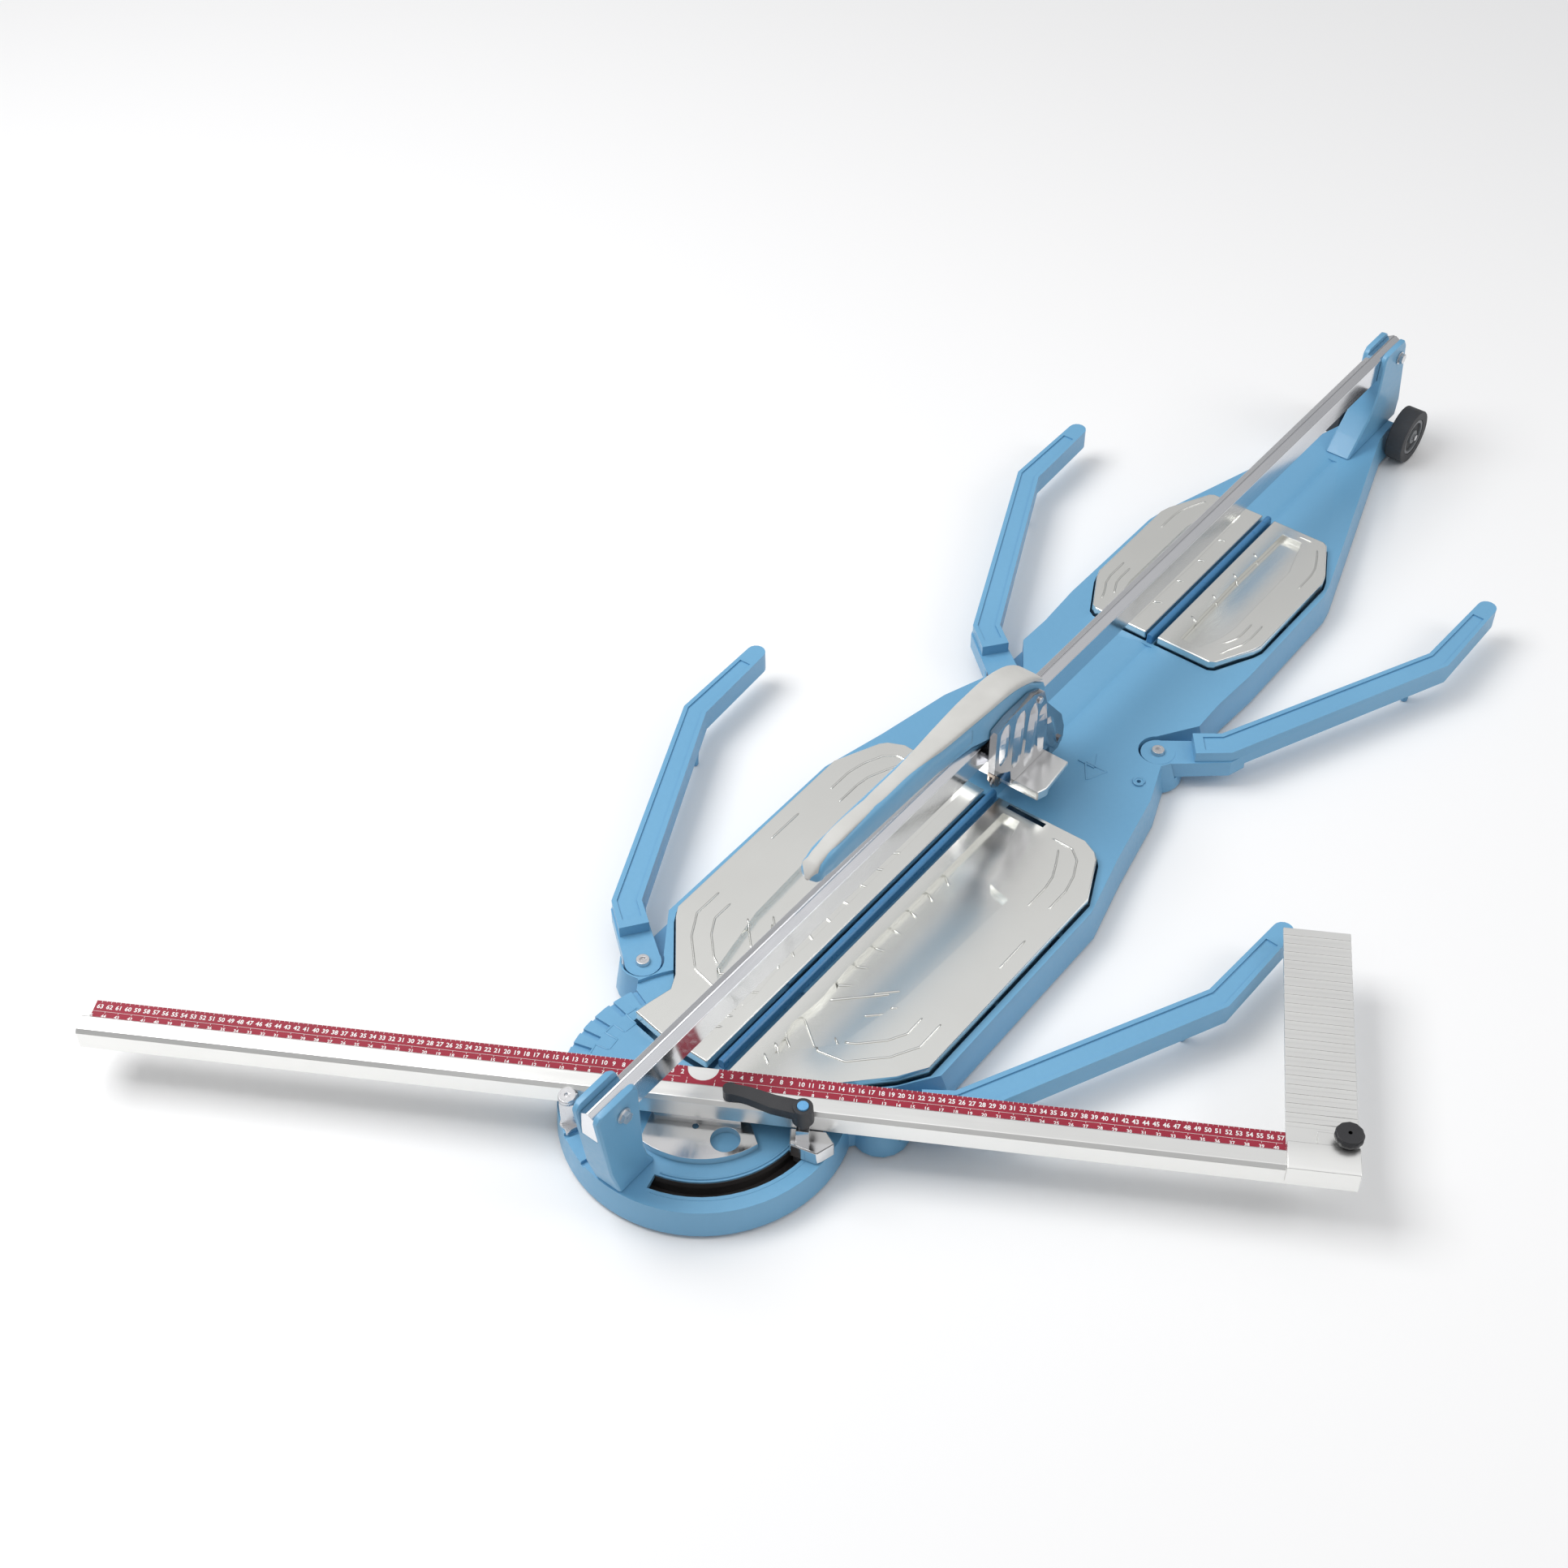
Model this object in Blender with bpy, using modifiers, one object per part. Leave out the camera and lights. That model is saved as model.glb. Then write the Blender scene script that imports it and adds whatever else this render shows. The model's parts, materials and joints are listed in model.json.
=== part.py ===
"""Rail-guided tile cutter with swivelling fence, sprung tables and four folding side arms.

Metres, +Z up. X = 0 is the cutting line, the fence swivels about (0, 0) and the rail runs along +Y.
"""
import math

import bmesh
import bpy
from mathutils import Matrix, Vector

# ---------------------------------------------------------------- driving dimensions
BODY_HALF_WIDTH = 0.188    # casting beside the front tables, at its foot
BODY_LENGTH = 1.430        # fence pivot to the end of the tail
HEAD_RADIUS = 0.153        # round protractor head
HEAD_TOP = 0.040
CASTING_TOP = 0.045
CASTING_FOOT = 0.005       # underside of the casting, carried on rubber feet
CASTING_DRAFT = 0.006
FLOOR_TOP = 0.010          # floor of the wells under the tables
TABLE_TOP = 0.0565
TABLE_DEPTH = 0.012
TABLE_SKIN = 0.0035
TABLE_GAP = 0.0025         # between a table and its well
RIB_TOP = 0.059
RIB_HALF = 0.004
RAIL_HALF = 0.0097
RAIL_LOW = 0.136
RAIL_SHOULDER = 0.168
RAIL_RIDGE = 0.173
RAIL_FRONT = -0.164
RAIL_OVERHANG = 0.003      # rail end to the end of the casting
POST_HALF = 0.017
FENCE_ANGLE = math.radians(30.0)
FENCE_LEFT = 0.640
FENCE_RIGHT = 0.645
FENCE_LOW = 0.059
FENCE_SHELF = 0.0745
FENCE_BOX_TOP = 0.085
RULER_WIDTH = 0.0275
FENCE_WIDTH = 0.050
RULER_TOP = 0.0755
BRACKET_RADIUS = 0.093
SWEEP_RADIUS = 0.156       # swept by the clamp and pointer as the fence swivels
SLOT_RADIUS = 0.1226
SLOT_HALF = 0.0085
SLOT_START = -76.0         # degrees
SLOT_END = 22.0
ARM_SPAN = 0.306           # straight middle length of a side arm
ARM_SWING = 18.0           # degrees, inward
HUB_RADIUS = 0.020
WHEEL_RADIUS = 0.0365
WHEEL_WIDTH = 0.024
TAIL_HALF = 0.03275         # half-width of the casting's tail at the wheels
CARRIAGE_Y = 0.550         # handle pivot along the rail
HANDLE_REACH = 0.375       # handle pivot to handle tip
CLEAR = 0.0003             # between pieces that touch in the real tool
RUNNING = 0.00008          # radial clearance of a turning bore

WIDE = BODY_HALF_WIDTH / 0.188
LONG = BODY_LENGTH / 1.430

FRONT_PIN = (0.158 * WIDE, 0.086 * LONG)
REAR_PIN = (0.107 * WIDE, 0.691 * LONG)
HUB_LOW = 0.020
HUB_TOP = 0.042
ARM_LOW = 0.029
ARM_TOP = 0.0560


# ---------------------------------------------------------------- outlines
def spread(points):
    """Stretch body outline points with the casting's width and length."""
    return [(x * WIDE, y * LONG) for x, y in points]


def mirrored(points):
    """The same outline on the other side of the cutting line."""
    return [(-x, y) for x, y in reversed(points)]


def arc(cx, cy, radius, start, end, count):
    """Points on a round stretch, angles in degrees."""
    steps = [start + (end - start) * i / (count - 1) for i in range(count)]
    return [(cx + radius * math.cos(math.radians(a)), cy + radius * math.sin(math.radians(a)))
            for a in steps]


def circle(cx, cy, radius, count=24):
    return arc(cx, cy, radius, 0.0, 360.0 - 360.0 / count, count)


def box_outline(x0, y0, x1, y1):
    return [(x0, y0), (x1, y0), (x1, y1), (x0, y1)]


def grown(outline, distance):
    """Outline moved outward by a distance (inward when negative)."""
    area = sum(a[0] * b[1] - b[0] * a[1] for a, b in zip(outline, outline[1:] + outline[:1]))
    side = 1.0 if area > 0 else -1.0
    moved = []
    for i, here in enumerate(outline):
        before = Vector(outline[i - 1])
        after = Vector(outline[(i + 1) % len(outline)])
        here = Vector(here)
        a = (here - before).normalized()
        b = (after - here).normalized()
        na = Vector((a.y, -a.x)) * side
        nb = Vector((b.y, -b.x)) * side
        mitre = (na + nb) / max(1.0 + na.dot(nb), 0.3)
        moved.append(tuple(here + mitre * distance))
    return moved


def ribbon(path, halves):
    """Outline of a bent strip along a path, mitred at its bends."""
    left = []
    right = []
    for i, here in enumerate(path):
        here = Vector(here)
        ahead = Vector(path[min(i + 1, len(path) - 1)])
        behind = Vector(path[max(i - 1, 0)])
        a = (here - behind).normalized() if i > 0 else (ahead - here).normalized()
        b = (ahead - here).normalized() if i < len(path) - 1 else a
        na = Vector((-a.y, a.x))
        nb = Vector((-b.y, b.x))
        side = (na + nb) / (1.0 + na.dot(nb)) * halves[i]
        left.append(tuple(here + side))
        right.append(tuple(here - side))
    return right + left[::-1]


def polar(radius, degrees):
    return Vector((math.cos(math.radians(degrees)), math.sin(math.radians(degrees)))) * radius


# ---------------------------------------------------------------- scene helpers
def clear_scene():
    for thing in list(bpy.data.objects):
        bpy.data.objects.remove(thing, do_unlink=True)
    parts = bpy.data.collections.new("tile_cutter")
    cutters = bpy.data.collections.new("cutters")
    for group in (parts, cutters):
        bpy.context.scene.collection.children.link(group)
    return parts, cutters


PARTS, CUTTERS = clear_scene()


def finish(name, colour, roughness, metallic):
    look = bpy.data.materials.new(name)
    look.use_nodes = True
    shader = look.node_tree.nodes["Principled BSDF"]
    shader.inputs["Base Color"].default_value = (*colour, 1.0)
    shader.inputs["Roughness"].default_value = roughness
    shader.inputs["Metallic"].default_value = metallic
    look.diffuse_color = (*colour, 1.0)
    return look


LOOKS = {
    "casting_blue": finish("casting_blue", (0.16, 0.40, 0.62), 0.45, 0.0),
    "rib_blue": finish("rib_blue", (0.07, 0.26, 0.50), 0.35, 0.0),
    "table_alu": finish("table_alu", (0.80, 0.80, 0.78), 0.30, 1.0),
    "fence_alu": finish("fence_alu", (0.84, 0.84, 0.82), 0.35, 1.0),
    "rail_chrome": finish("rail_chrome", (0.80, 0.80, 0.80), 0.10, 1.0),
    "steel": finish("steel", (0.62, 0.62, 0.62), 0.28, 1.0),
    "ruler_red": finish("ruler_red", (0.42, 0.03, 0.06), 0.45, 0.0),
    "lever_black": finish("lever_black", (0.03, 0.03, 0.03), 0.45, 0.0),
    "button_blue": finish("button_blue", (0.10, 0.38, 0.65), 0.35, 0.0),
    "grip_grey": finish("grip_grey", (0.66, 0.66, 0.62), 0.55, 0.0),
    "tyre_grey": finish("tyre_grey", (0.08, 0.08, 0.09), 0.70, 0.0),
    "hub_grey": finish("hub_grey", (0.30, 0.31, 0.32), 0.50, 0.0),
    "foot_rubber": finish("foot_rubber", (0.03, 0.03, 0.03), 0.80, 0.0),
    "carbide": finish("carbide", (0.35, 0.30, 0.26), 0.35, 1.0),
}


def flat(outlines, low, high):
    """Mesh of one or more plan outlines, filled and raised from low to high."""
    curve = bpy.data.curves.new("outline", "CURVE")
    curve.dimensions = "2D"
    curve.fill_mode = "BOTH"
    curve.extrude = (high - low) / 2.0
    for outline in outlines:
        spline = curve.splines.new("POLY")
        spline.points.add(len(outline) - 1)
        spline.use_cyclic_u = True
        for point, (x, y) in zip(spline.points, outline):
            point.co = (x, y, 0.0, 1.0)
    holder = bpy.data.objects.new("outline", curve)
    bpy.context.scene.collection.objects.link(holder)
    view = bpy.context.evaluated_depsgraph_get()
    mesh = bpy.data.meshes.new_from_object(holder.evaluated_get(view))
    bpy.data.objects.remove(holder, do_unlink=True)
    bpy.data.curves.remove(curve)
    shape = bmesh.new()
    shape.from_mesh(mesh)
    bmesh.ops.remove_doubles(shape, verts=shape.verts, dist=1e-6)
    bmesh.ops.translate(shape, verts=shape.verts, vec=(0.0, 0.0, (low + high) / 2.0))
    bmesh.ops.recalc_face_normals(shape, faces=shape.faces)
    shape.to_mesh(mesh)
    shape.free()
    return mesh


def across(outlines, low, high):
    """Side outlines given as (y, z), raised along X from low to high."""
    mesh = flat(outlines, low, high)
    mesh.transform(Matrix(((0, 0, 1, 0), (1, 0, 0, 0), (0, 1, 0, 0), (0, 0, 0, 1))))
    return mesh


def along(outlines, front, back):
    """End outlines given as (x, z), raised along Y from front to back."""
    mesh = flat(outlines, -back, -front)
    mesh.transform(Matrix.Rotation(math.radians(90.0), 4, "X"))
    return mesh


def drum(radius, low, high, count=24, top=None):
    """Mesh of an upright cylinder, or of a cone when top differs."""
    mesh = bpy.data.meshes.new("drum")
    shape = bmesh.new()
    bmesh.ops.create_cone(shape, cap_ends=True, segments=count, radius1=radius,
                          radius2=radius if top is None else top, depth=high - low)
    bmesh.ops.translate(shape, verts=shape.verts, vec=(0.0, 0.0, (low + high) / 2.0))
    shape.to_mesh(mesh)
    shape.free()
    return mesh


def moved(mesh, x=0.0, y=0.0, z=0.0):
    mesh.transform(Matrix.Translation((x, y, z)))
    return mesh


def sideways(mesh, y, z):
    """Turn an upright mesh so that it lies along X, through (y, z)."""
    mesh.transform(Matrix.Rotation(math.radians(90.0), 4, "Y"))
    return moved(mesh, 0.0, y, z)


def on_fence(mesh):
    """Swing a mesh drawn along the fence into the fence's place."""
    mesh.transform(Matrix.Rotation(FENCE_ANGLE, 4, "Z"))
    return mesh


def part(name, mesh, look, origin=(0.0, 0.0, 0.0)):
    mesh.name = name
    mesh.transform(Matrix.Translation(-Vector(origin)))
    mesh.materials.clear()
    mesh.materials.append(LOOKS[look])
    thing = bpy.data.objects.new(name, mesh)
    thing.location = origin
    PARTS.objects.link(thing)
    return thing


def tool(name, mesh):
    thing = bpy.data.objects.new(name, mesh)
    thing.hide_render = True
    thing.display_type = "WIRE"
    CUTTERS.objects.link(thing)
    return thing


def change(target, mesh, label, operation="DIFFERENCE"):
    """Cut a mesh from a part, or join or intersect it."""
    step = target.modifiers.new(label, "BOOLEAN")
    step.operation = operation
    step.solver = "EXACT"
    step.object = tool(f"{target.name}_{label}", mesh)
    return step


def soften(target, width, angle=40.0, segments=1):
    step = target.modifiers.new("edges", "BEVEL")
    step.width = width
    step.segments = segments
    step.limit_method = "ANGLE"
    step.angle_limit = math.radians(angle)
    return step


def drafted(outline, low, high, draft):
    """An outline raised with walls that lean inward."""
    mesh = flat([outline], low, low + 0.002)
    shape = bmesh.new()
    shape.from_mesh(mesh)
    shape.normal_update()
    top = [f for f in shape.faces if f.normal.z > 0.5]
    top = bmesh.ops.dissolve_faces(shape, faces=top)["region"]
    bmesh.ops.inset_region(shape, faces=top, thickness=draft, depth=high - low - 0.002,
                           use_even_offset=True, use_boundary=True)
    shape.to_mesh(mesh)
    shape.free()
    return mesh


# ---------------------------------------------------------------- body outlines
def body_side():
    """Right-hand half of the casting's foot, from the head to the tail."""
    fx, fy = FRONT_PIN
    rx, ry = REAR_PIN
    side = spread([(0.124, 0.016), (0.141, 0.048)])
    side += arc(fx, fy, 0.031, -110.0, 35.0, 8)
    side += spread([(0.1875, 0.125), (0.188, 0.435), (0.168, 0.520), (0.149, 0.618)])
    side += arc(rx, ry, 0.031, -42.0, 40.0, 6)
    side += spread([(0.129, 0.801), (0.133, 0.866), (0.132, 1.047), (0.128, 1.069), (0.097, 1.175),
                    (0.049, 1.330), (0.034, 1.380), (0.031, 1.430)])
    return side


FRONT_TABLE_RIGHT = [(0.012, 0.017), (0.054, 0.021), (0.152, 0.121), (0.171, 0.150), (0.172, 0.300),
                     (0.173, 0.440), (0.149, 0.494), (0.143, 0.501), (0.124, 0.510), (0.010, 0.507)]
FRONT_TABLE_LEFT = [(-0.012, 0.017), (-0.010, 0.507), (-0.124, 0.510), (-0.143, 0.501),
                    (-0.149, 0.494), (-0.173, 0.440), (-0.172, 0.300), (-0.171, 0.160),
                    (-0.164, 0.148), (-0.112, 0.086), (-0.103, 0.068), (-0.109, 0.041),
                    (-0.112, 0.022), (-0.072, 0.016)]
REAR_TABLE_RIGHT = [(0.008, 0.846), (0.080, 0.846), (0.087, 0.850), (0.112, 0.898), (0.116, 0.910),
                    (0.117, 1.058), (0.113, 1.072), (0.086, 1.125), (0.080, 1.129), (0.008, 1.129)]
REAR_TABLE_LEFT = mirrored(REAR_TABLE_RIGHT)
FRONT_TROUGH = [(0.036, 0.068), (0.060, 0.095), (0.082, 0.118), (0.098, 0.205), (0.106, 0.385),
                (0.078, 0.392), (0.056, 0.462), (0.050, 0.489), (0.028, 0.489), (0.027, 0.380),
                (0.027, 0.200), (0.030, 0.150), (0.026, 0.110)]
REAR_TROUGH = [(0.031, 0.862), (0.058, 0.862), (0.070, 0.892), (0.074, 0.915), (0.074, 1.050),
               (0.058, 1.110), (0.031, 1.110), (0.029, 0.990)]

TABLES = {
    "table_front_right": (FRONT_TABLE_RIGHT, FRONT_TROUGH, 1.0),
    "table_front_left": (FRONT_TABLE_LEFT, FRONT_TROUGH, -1.0),
    "table_rear_right": (REAR_TABLE_RIGHT, REAR_TROUGH, 1.0),
    "table_rear_left": (REAR_TABLE_LEFT, REAR_TROUGH, -1.0),
}


# ---------------------------------------------------------------- casting
def arm_room(pin, turn):
    """Room in the casting for a right-hand arm's hub and the swing of its root."""
    start = 38.0 - turn
    stop = 38.0 - turn + ARM_SWING
    lead = polar(1.0, stop)
    left = Vector(pin) + Vector((-lead.y, lead.x)) * (HUB_RADIUS + 0.0015)
    trail = polar(1.0, start)
    right = Vector(pin) + Vector((trail.y, -trail.x)) * (HUB_RADIUS + 0.0015)
    return [tuple(left), tuple(Vector(pin)), tuple(right), tuple(right + trail * 0.10),
            tuple(right + trail * 0.10 + Vector((0.0, 0.06))), tuple(left + lead * 0.10)]


def base_casting():
    side = body_side()
    outline = [(0.0, 0.014)] + side + [(0.0, BODY_LENGTH)] + mirrored(side)
    body = part("base_casting", drafted(outline, CASTING_FOOT, CASTING_TOP, CASTING_DRAFT),
                "casting_blue")
    head = drum(HEAD_RADIUS, CASTING_FOOT, HEAD_TOP, 64, HEAD_RADIUS - 0.003)
    change(body, drum(SWEEP_RADIUS, HEAD_TOP, 0.09, 64), "sweep")
    change(body, head, "head", "UNION")
    for name, (outline, trough, hand) in TABLES.items():
        well = grown(spread(outline), TABLE_GAP)
        change(body, flat([well], FLOOR_TOP, 0.09), f"well_{name}")
    for i, (y, half) in enumerate(((0.155, 0.164), (0.275, 0.177), (0.395, 0.177), (0.985, 0.120))):
        bar = flat([box_outline(-half * WIDE, y * LONG - 0.003, half * WIDE, y * LONG + 0.003)],
                   FLOOR_TOP - 0.002, 0.034)
        change(body, bar, f"web_{i}", "UNION")
    for i, (pin, turn) in enumerate(((FRONT_PIN, 1.5), (REAR_PIN, 0.0))):
        room = arm_room(pin, turn)
        for hand, points in (("right", room), ("left", mirrored(room))):
            sign = 1.0 if hand == "right" else -1.0
            change(body, flat([points], HUB_LOW - 0.0006, 0.09), f"swing_{hand}_{i}")
            hub = moved(drum(HUB_RADIUS + 0.003, HUB_LOW - 0.0006, 0.09, 24), sign * pin[0], pin[1])
            change(body, hub, f"hub_{hand}_{i}")
            bore = moved(drum(0.0046, 0.009, 0.05), sign * pin[0], pin[1])
            change(body, bore, f"pin_{hand}_{i}")
    cut_head(body)
    cut_underside(body)
    groove = along([[(-0.012, CASTING_TOP + 0.001), (0.0, CASTING_TOP - 0.003),
                     (0.012, CASTING_TOP + 0.001)]], 0.516 * LONG, 0.838 * LONG)
    change(body, groove, "waist_groove")
    groove = along([[(-0.010, CASTING_TOP + 0.001), (0.0, CASTING_TOP - 0.003),
                     (0.010, CASTING_TOP + 0.001)]], 1.136 * LONG, 1.300 * LONG)
    change(body, groove, "tail_groove")
    boss = moved(drum(0.009, CASTING_TOP - 0.004, CASTING_TOP + 0.0015, 20, 0.006),
                 0.117 * WIDE, 0.633 * LONG)
    change(body, boss, "lug", "UNION")
    change(body, moved(drum(0.0025, 0.030, 0.06, 12), 0.117 * WIDE, 0.633 * LONG), "lug_hole")
    arrow = flat([spread([(0.043, 0.620), (0.065, 0.620), (0.054, 0.642)])],
                 CASTING_TOP - 0.003, CASTING_TOP + 0.0015)
    change(body, arrow, "arrow", "UNION")
    axle = sideways(drum(0.0043, -0.05, 0.05), 0.0, 0.0)
    change(body, moved(axle, 0.0, BODY_LENGTH - 0.010, WHEEL_RADIUS + 0.0015), "axle_bore")
    return body


def cut_head(body):
    middle = SLOT_RADIUS
    outer = arc(0.0, 0.0, middle + SLOT_HALF, SLOT_START, SLOT_END, 17)
    inner = arc(0.0, 0.0, middle - SLOT_HALF, SLOT_END, SLOT_START, 17)
    change(body, flat([outer + inner], 0.030, 0.06), "slot")
    outer = arc(0.0, 0.0, middle + 0.0130, SLOT_START - 4.0, SLOT_END + 4.0, 17)
    inner = arc(0.0, 0.0, middle - 0.0130, SLOT_END + 4.0, SLOT_START - 4.0, 17)
    change(body, flat([outer + inner], 0.012, HEAD_TOP - 0.006), "nut_track")
    change(body, drum(0.0063, 0.020, 0.06, 20), "pivot_bore")
    for i, angle in enumerate((160.0, 171.0, 181.0, 188.5, 196.0, 211.0, 226.0, 241.0, 256.0)):
        near = polar(0.128, angle)
        far = polar(0.165, angle)
        notch = flat([ribbon([tuple(near), tuple(far)], [0.003, 0.003])], HEAD_TOP - 0.004, 0.043)
        change(body, notch, f"notch_{i}")


def cut_underside(body):
    roof = HEAD_TOP - 0.006
    bays = [
        (arc(0.0, 0.0, 0.099, -172.0, -96.0, 8) + arc(0.0, 0.0, 0.030, -104.0, -160.0, 4), roof),
        (arc(0.0, 0.0, 0.099, -84.0, -8.0, 8) + arc(0.0, 0.0, 0.030, -20.0, -76.0, 4), roof),
        (arc(0.0, 0.0, 0.143, -168.0, -98.0, 8) + arc(0.0, 0.0, 0.105, -98.0, -168.0, 7), roof),
    ]
    waist = spread([(0.006, 0.530), (0.135, 0.530), (0.118, 0.620), (0.068, 0.640), (0.006, 0.640)])
    back = spread([(0.006, 0.650), (0.066, 0.650), (0.066, 0.740), (0.100, 0.800), (0.100, 0.828),
                   (0.006, 0.828)])
    tail = spread([(0.006, 1.150), (0.075, 1.150), (0.048, 1.230), (0.006, 1.230)])
    end = spread([(0.006, 1.242), (0.043, 1.242), (0.026, 1.300), (0.006, 1.300)])
    for shape in (waist, back, tail, end):
        bays.append((shape, CASTING_TOP - 0.008))
        bays.append((mirrored(shape), CASTING_TOP - 0.008))
    for i, (shape, roof) in enumerate(bays):
        change(body, flat([shape], 0.0, roof), f"bay_{i}")


# ---------------------------------------------------------------- tables, springs, ribs
def tables():
    for name, (outline, trough, hand) in TABLES.items():
        outline = spread(outline)
        trough = spread(trough if hand > 0 else mirrored(trough))
        low = TABLE_TOP - TABLE_DEPTH
        table = part(name, flat([outline], low, TABLE_TOP), "table_alu")
        soften(table, 0.0012, 60.0)
        under = flat([grown(outline, -0.004), grown(trough, 0.0035)], low - 0.01,
                     TABLE_TOP - TABLE_SKIN)
        change(table, under, "under")
        change(table, flat([trough], low + TABLE_SKIN, TABLE_TOP + 0.01), "trough")
        xs = [x for x, y in trough]
        far = max(y for x, y in outline)
        slot = box_outline(min(xs), far - 0.0125, max(xs) * 0.62 + min(xs) * 0.38, far - 0.006)
        if "front" in name:
            change(table, flat([slot], low - 0.01, TABLE_TOP + 0.01), "window")


SPRING_SPOTS = {
    "spring_front_right": (0.130, 0.335), "spring_front_left": (-0.130, 0.335),
    "spring_rear_right": (0.096, 1.030), "spring_rear_left": (-0.096, 1.030),
}


def springs():
    low = FLOOR_TOP + CLEAR
    high = TABLE_TOP - TABLE_SKIN - CLEAR
    wire = 0.0012
    for name, spot in SPRING_SPOTS.items():
        (x, y), = spread([spot])
        curve = bpy.data.curves.new(name, "CURVE")
        curve.dimensions = "3D"
        curve.bevel_depth = wire
        curve.bevel_resolution = 0
        curve.use_fill_caps = True
        count = 46
        spline = curve.splines.new("POLY")
        spline.points.add(count - 1)
        for i, point in enumerate(spline.points):
            turn = i / (count - 1)
            angle = turn * 4.5 * 2.0 * math.pi
            z = low + wire + (high - low - 2.0 * wire) * turn
            point.co = (x + 0.010 * math.cos(angle), y + 0.010 * math.sin(angle), z, 1.0)
        holder = bpy.data.objects.new(name, curve)
        bpy.context.scene.collection.objects.link(holder)
        view = bpy.context.evaluated_depsgraph_get()
        mesh = bpy.data.meshes.new_from_object(holder.evaluated_get(view))
        bpy.data.objects.remove(holder, do_unlink=True)
        bpy.data.curves.remove(curve)
        shape = bmesh.new()
        shape.from_mesh(mesh)
        bmesh.ops.remove_doubles(shape, verts=shape.verts, dist=1e-6)
        bmesh.ops.recalc_face_normals(shape, faces=shape.faces)
        shape.to_mesh(mesh)
        shape.free()
        part(name, mesh, "steel")


def ribs():
    section = [(-RIB_HALF, CASTING_TOP + CLEAR), (RIB_HALF, CASTING_TOP + CLEAR),
               (RIB_HALF, RIB_TOP - 0.002), (0.0015, RIB_TOP), (-0.0015, RIB_TOP),
               (-RIB_HALF, RIB_TOP - 0.002)]
    for name, front, back in (("rib_front", 0.026, 0.512), ("rib_rear", 0.842, 1.130)):
        part(name, along([section], front * LONG, back * LONG), "rib_blue")


# ---------------------------------------------------------------- rail and posts
RAIL_BACK = BODY_LENGTH - RAIL_OVERHANG
FRONT_BOLT = (-0.134, 0.154)
REAR_BOLT = (RAIL_BACK - 0.013, 0.152)


def rail():
    section = [(-RAIL_HALF, RAIL_LOW), (RAIL_HALF, RAIL_LOW), (RAIL_HALF, RAIL_SHOULDER),
               (0.0012, RAIL_RIDGE), (0.0, RAIL_RIDGE - 0.0012), (-0.0012, RAIL_RIDGE),
               (-RAIL_HALF, RAIL_SHOULDER)]
    bar = part("guide_rail", along([section], RAIL_FRONT, RAIL_BACK), "rail_chrome")
    for i, (y, z) in enumerate((FRONT_BOLT, REAR_BOLT)):
        change(bar, sideways(drum(0.0045, -0.03, 0.03, 16), y, z), f"bolt_{i}")


def posts():
    back = BODY_LENGTH
    shapes = {
        "front_post": [(-0.148, HEAD_TOP + CLEAR), (-0.0965, HEAD_TOP + CLEAR), (-0.105, 0.056),
                       (-0.110, 0.080), (-0.110, 0.172), (-0.116, 0.178), (-0.162, 0.178),
                       (-0.168, 0.172), (-0.158, 0.080)],
        "rear_post": [(back - 0.120, CASTING_TOP + CLEAR), (back + 0.012, CASTING_TOP + CLEAR),
                      (back + 0.016, 0.070), (back, 0.165), (back - 0.006, 0.174),
                      (back - 0.052, 0.174), (back - 0.058, 0.168), (back - 0.060, 0.118),
                      (back - 0.075, 0.085)],
    }
    rests = {"front_post": (-0.20, -0.095, FRONT_BOLT), "rear_post": (back - 0.09, back + 0.03,
                                                                     REAR_BOLT)}
    for name, shape in shapes.items():
        front, rear, bolt = rests[name]
        post = part(name, across([shape], -POST_HALF, POST_HALF), "casting_blue")
        soften(post, 0.002, 30.0)
        gap = RAIL_HALF + CLEAR
        slot = along([[(-gap, RAIL_LOW - CLEAR), (gap, RAIL_LOW - CLEAR), (gap, 0.2),
                       (-gap, 0.2)]], front, rear)
        change(post, slot, "rail_slot")
        change(post, sideways(drum(0.0045, -0.05, 0.05, 16), *bolt), "bolt_hole")


def bolts():
    for name, (y, z) in (("front", FRONT_BOLT), ("rear", REAR_BOLT)):
        face = POST_HALF + CLEAR
        shank = drum(0.0042, -0.0265, face + 0.001, 16)
        bolt = part(f"rail_bolt_{name}", sideways(shank, y, z), "steel")
        change(bolt, sideways(drum(0.0085, face, face + 0.0015, 24), y, z), "washer", "UNION")
        change(bolt, sideways(drum(0.0068, face + 0.001, face + 0.0065, 6), y, z), "head", "UNION")
        nut = part(f"rail_nut_{name}", sideways(drum(0.0072, -0.0245, -face, 6), y, z), "steel")
        change(nut, sideways(drum(0.0045, -0.05, 0.05, 16), y, z), "thread")


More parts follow.
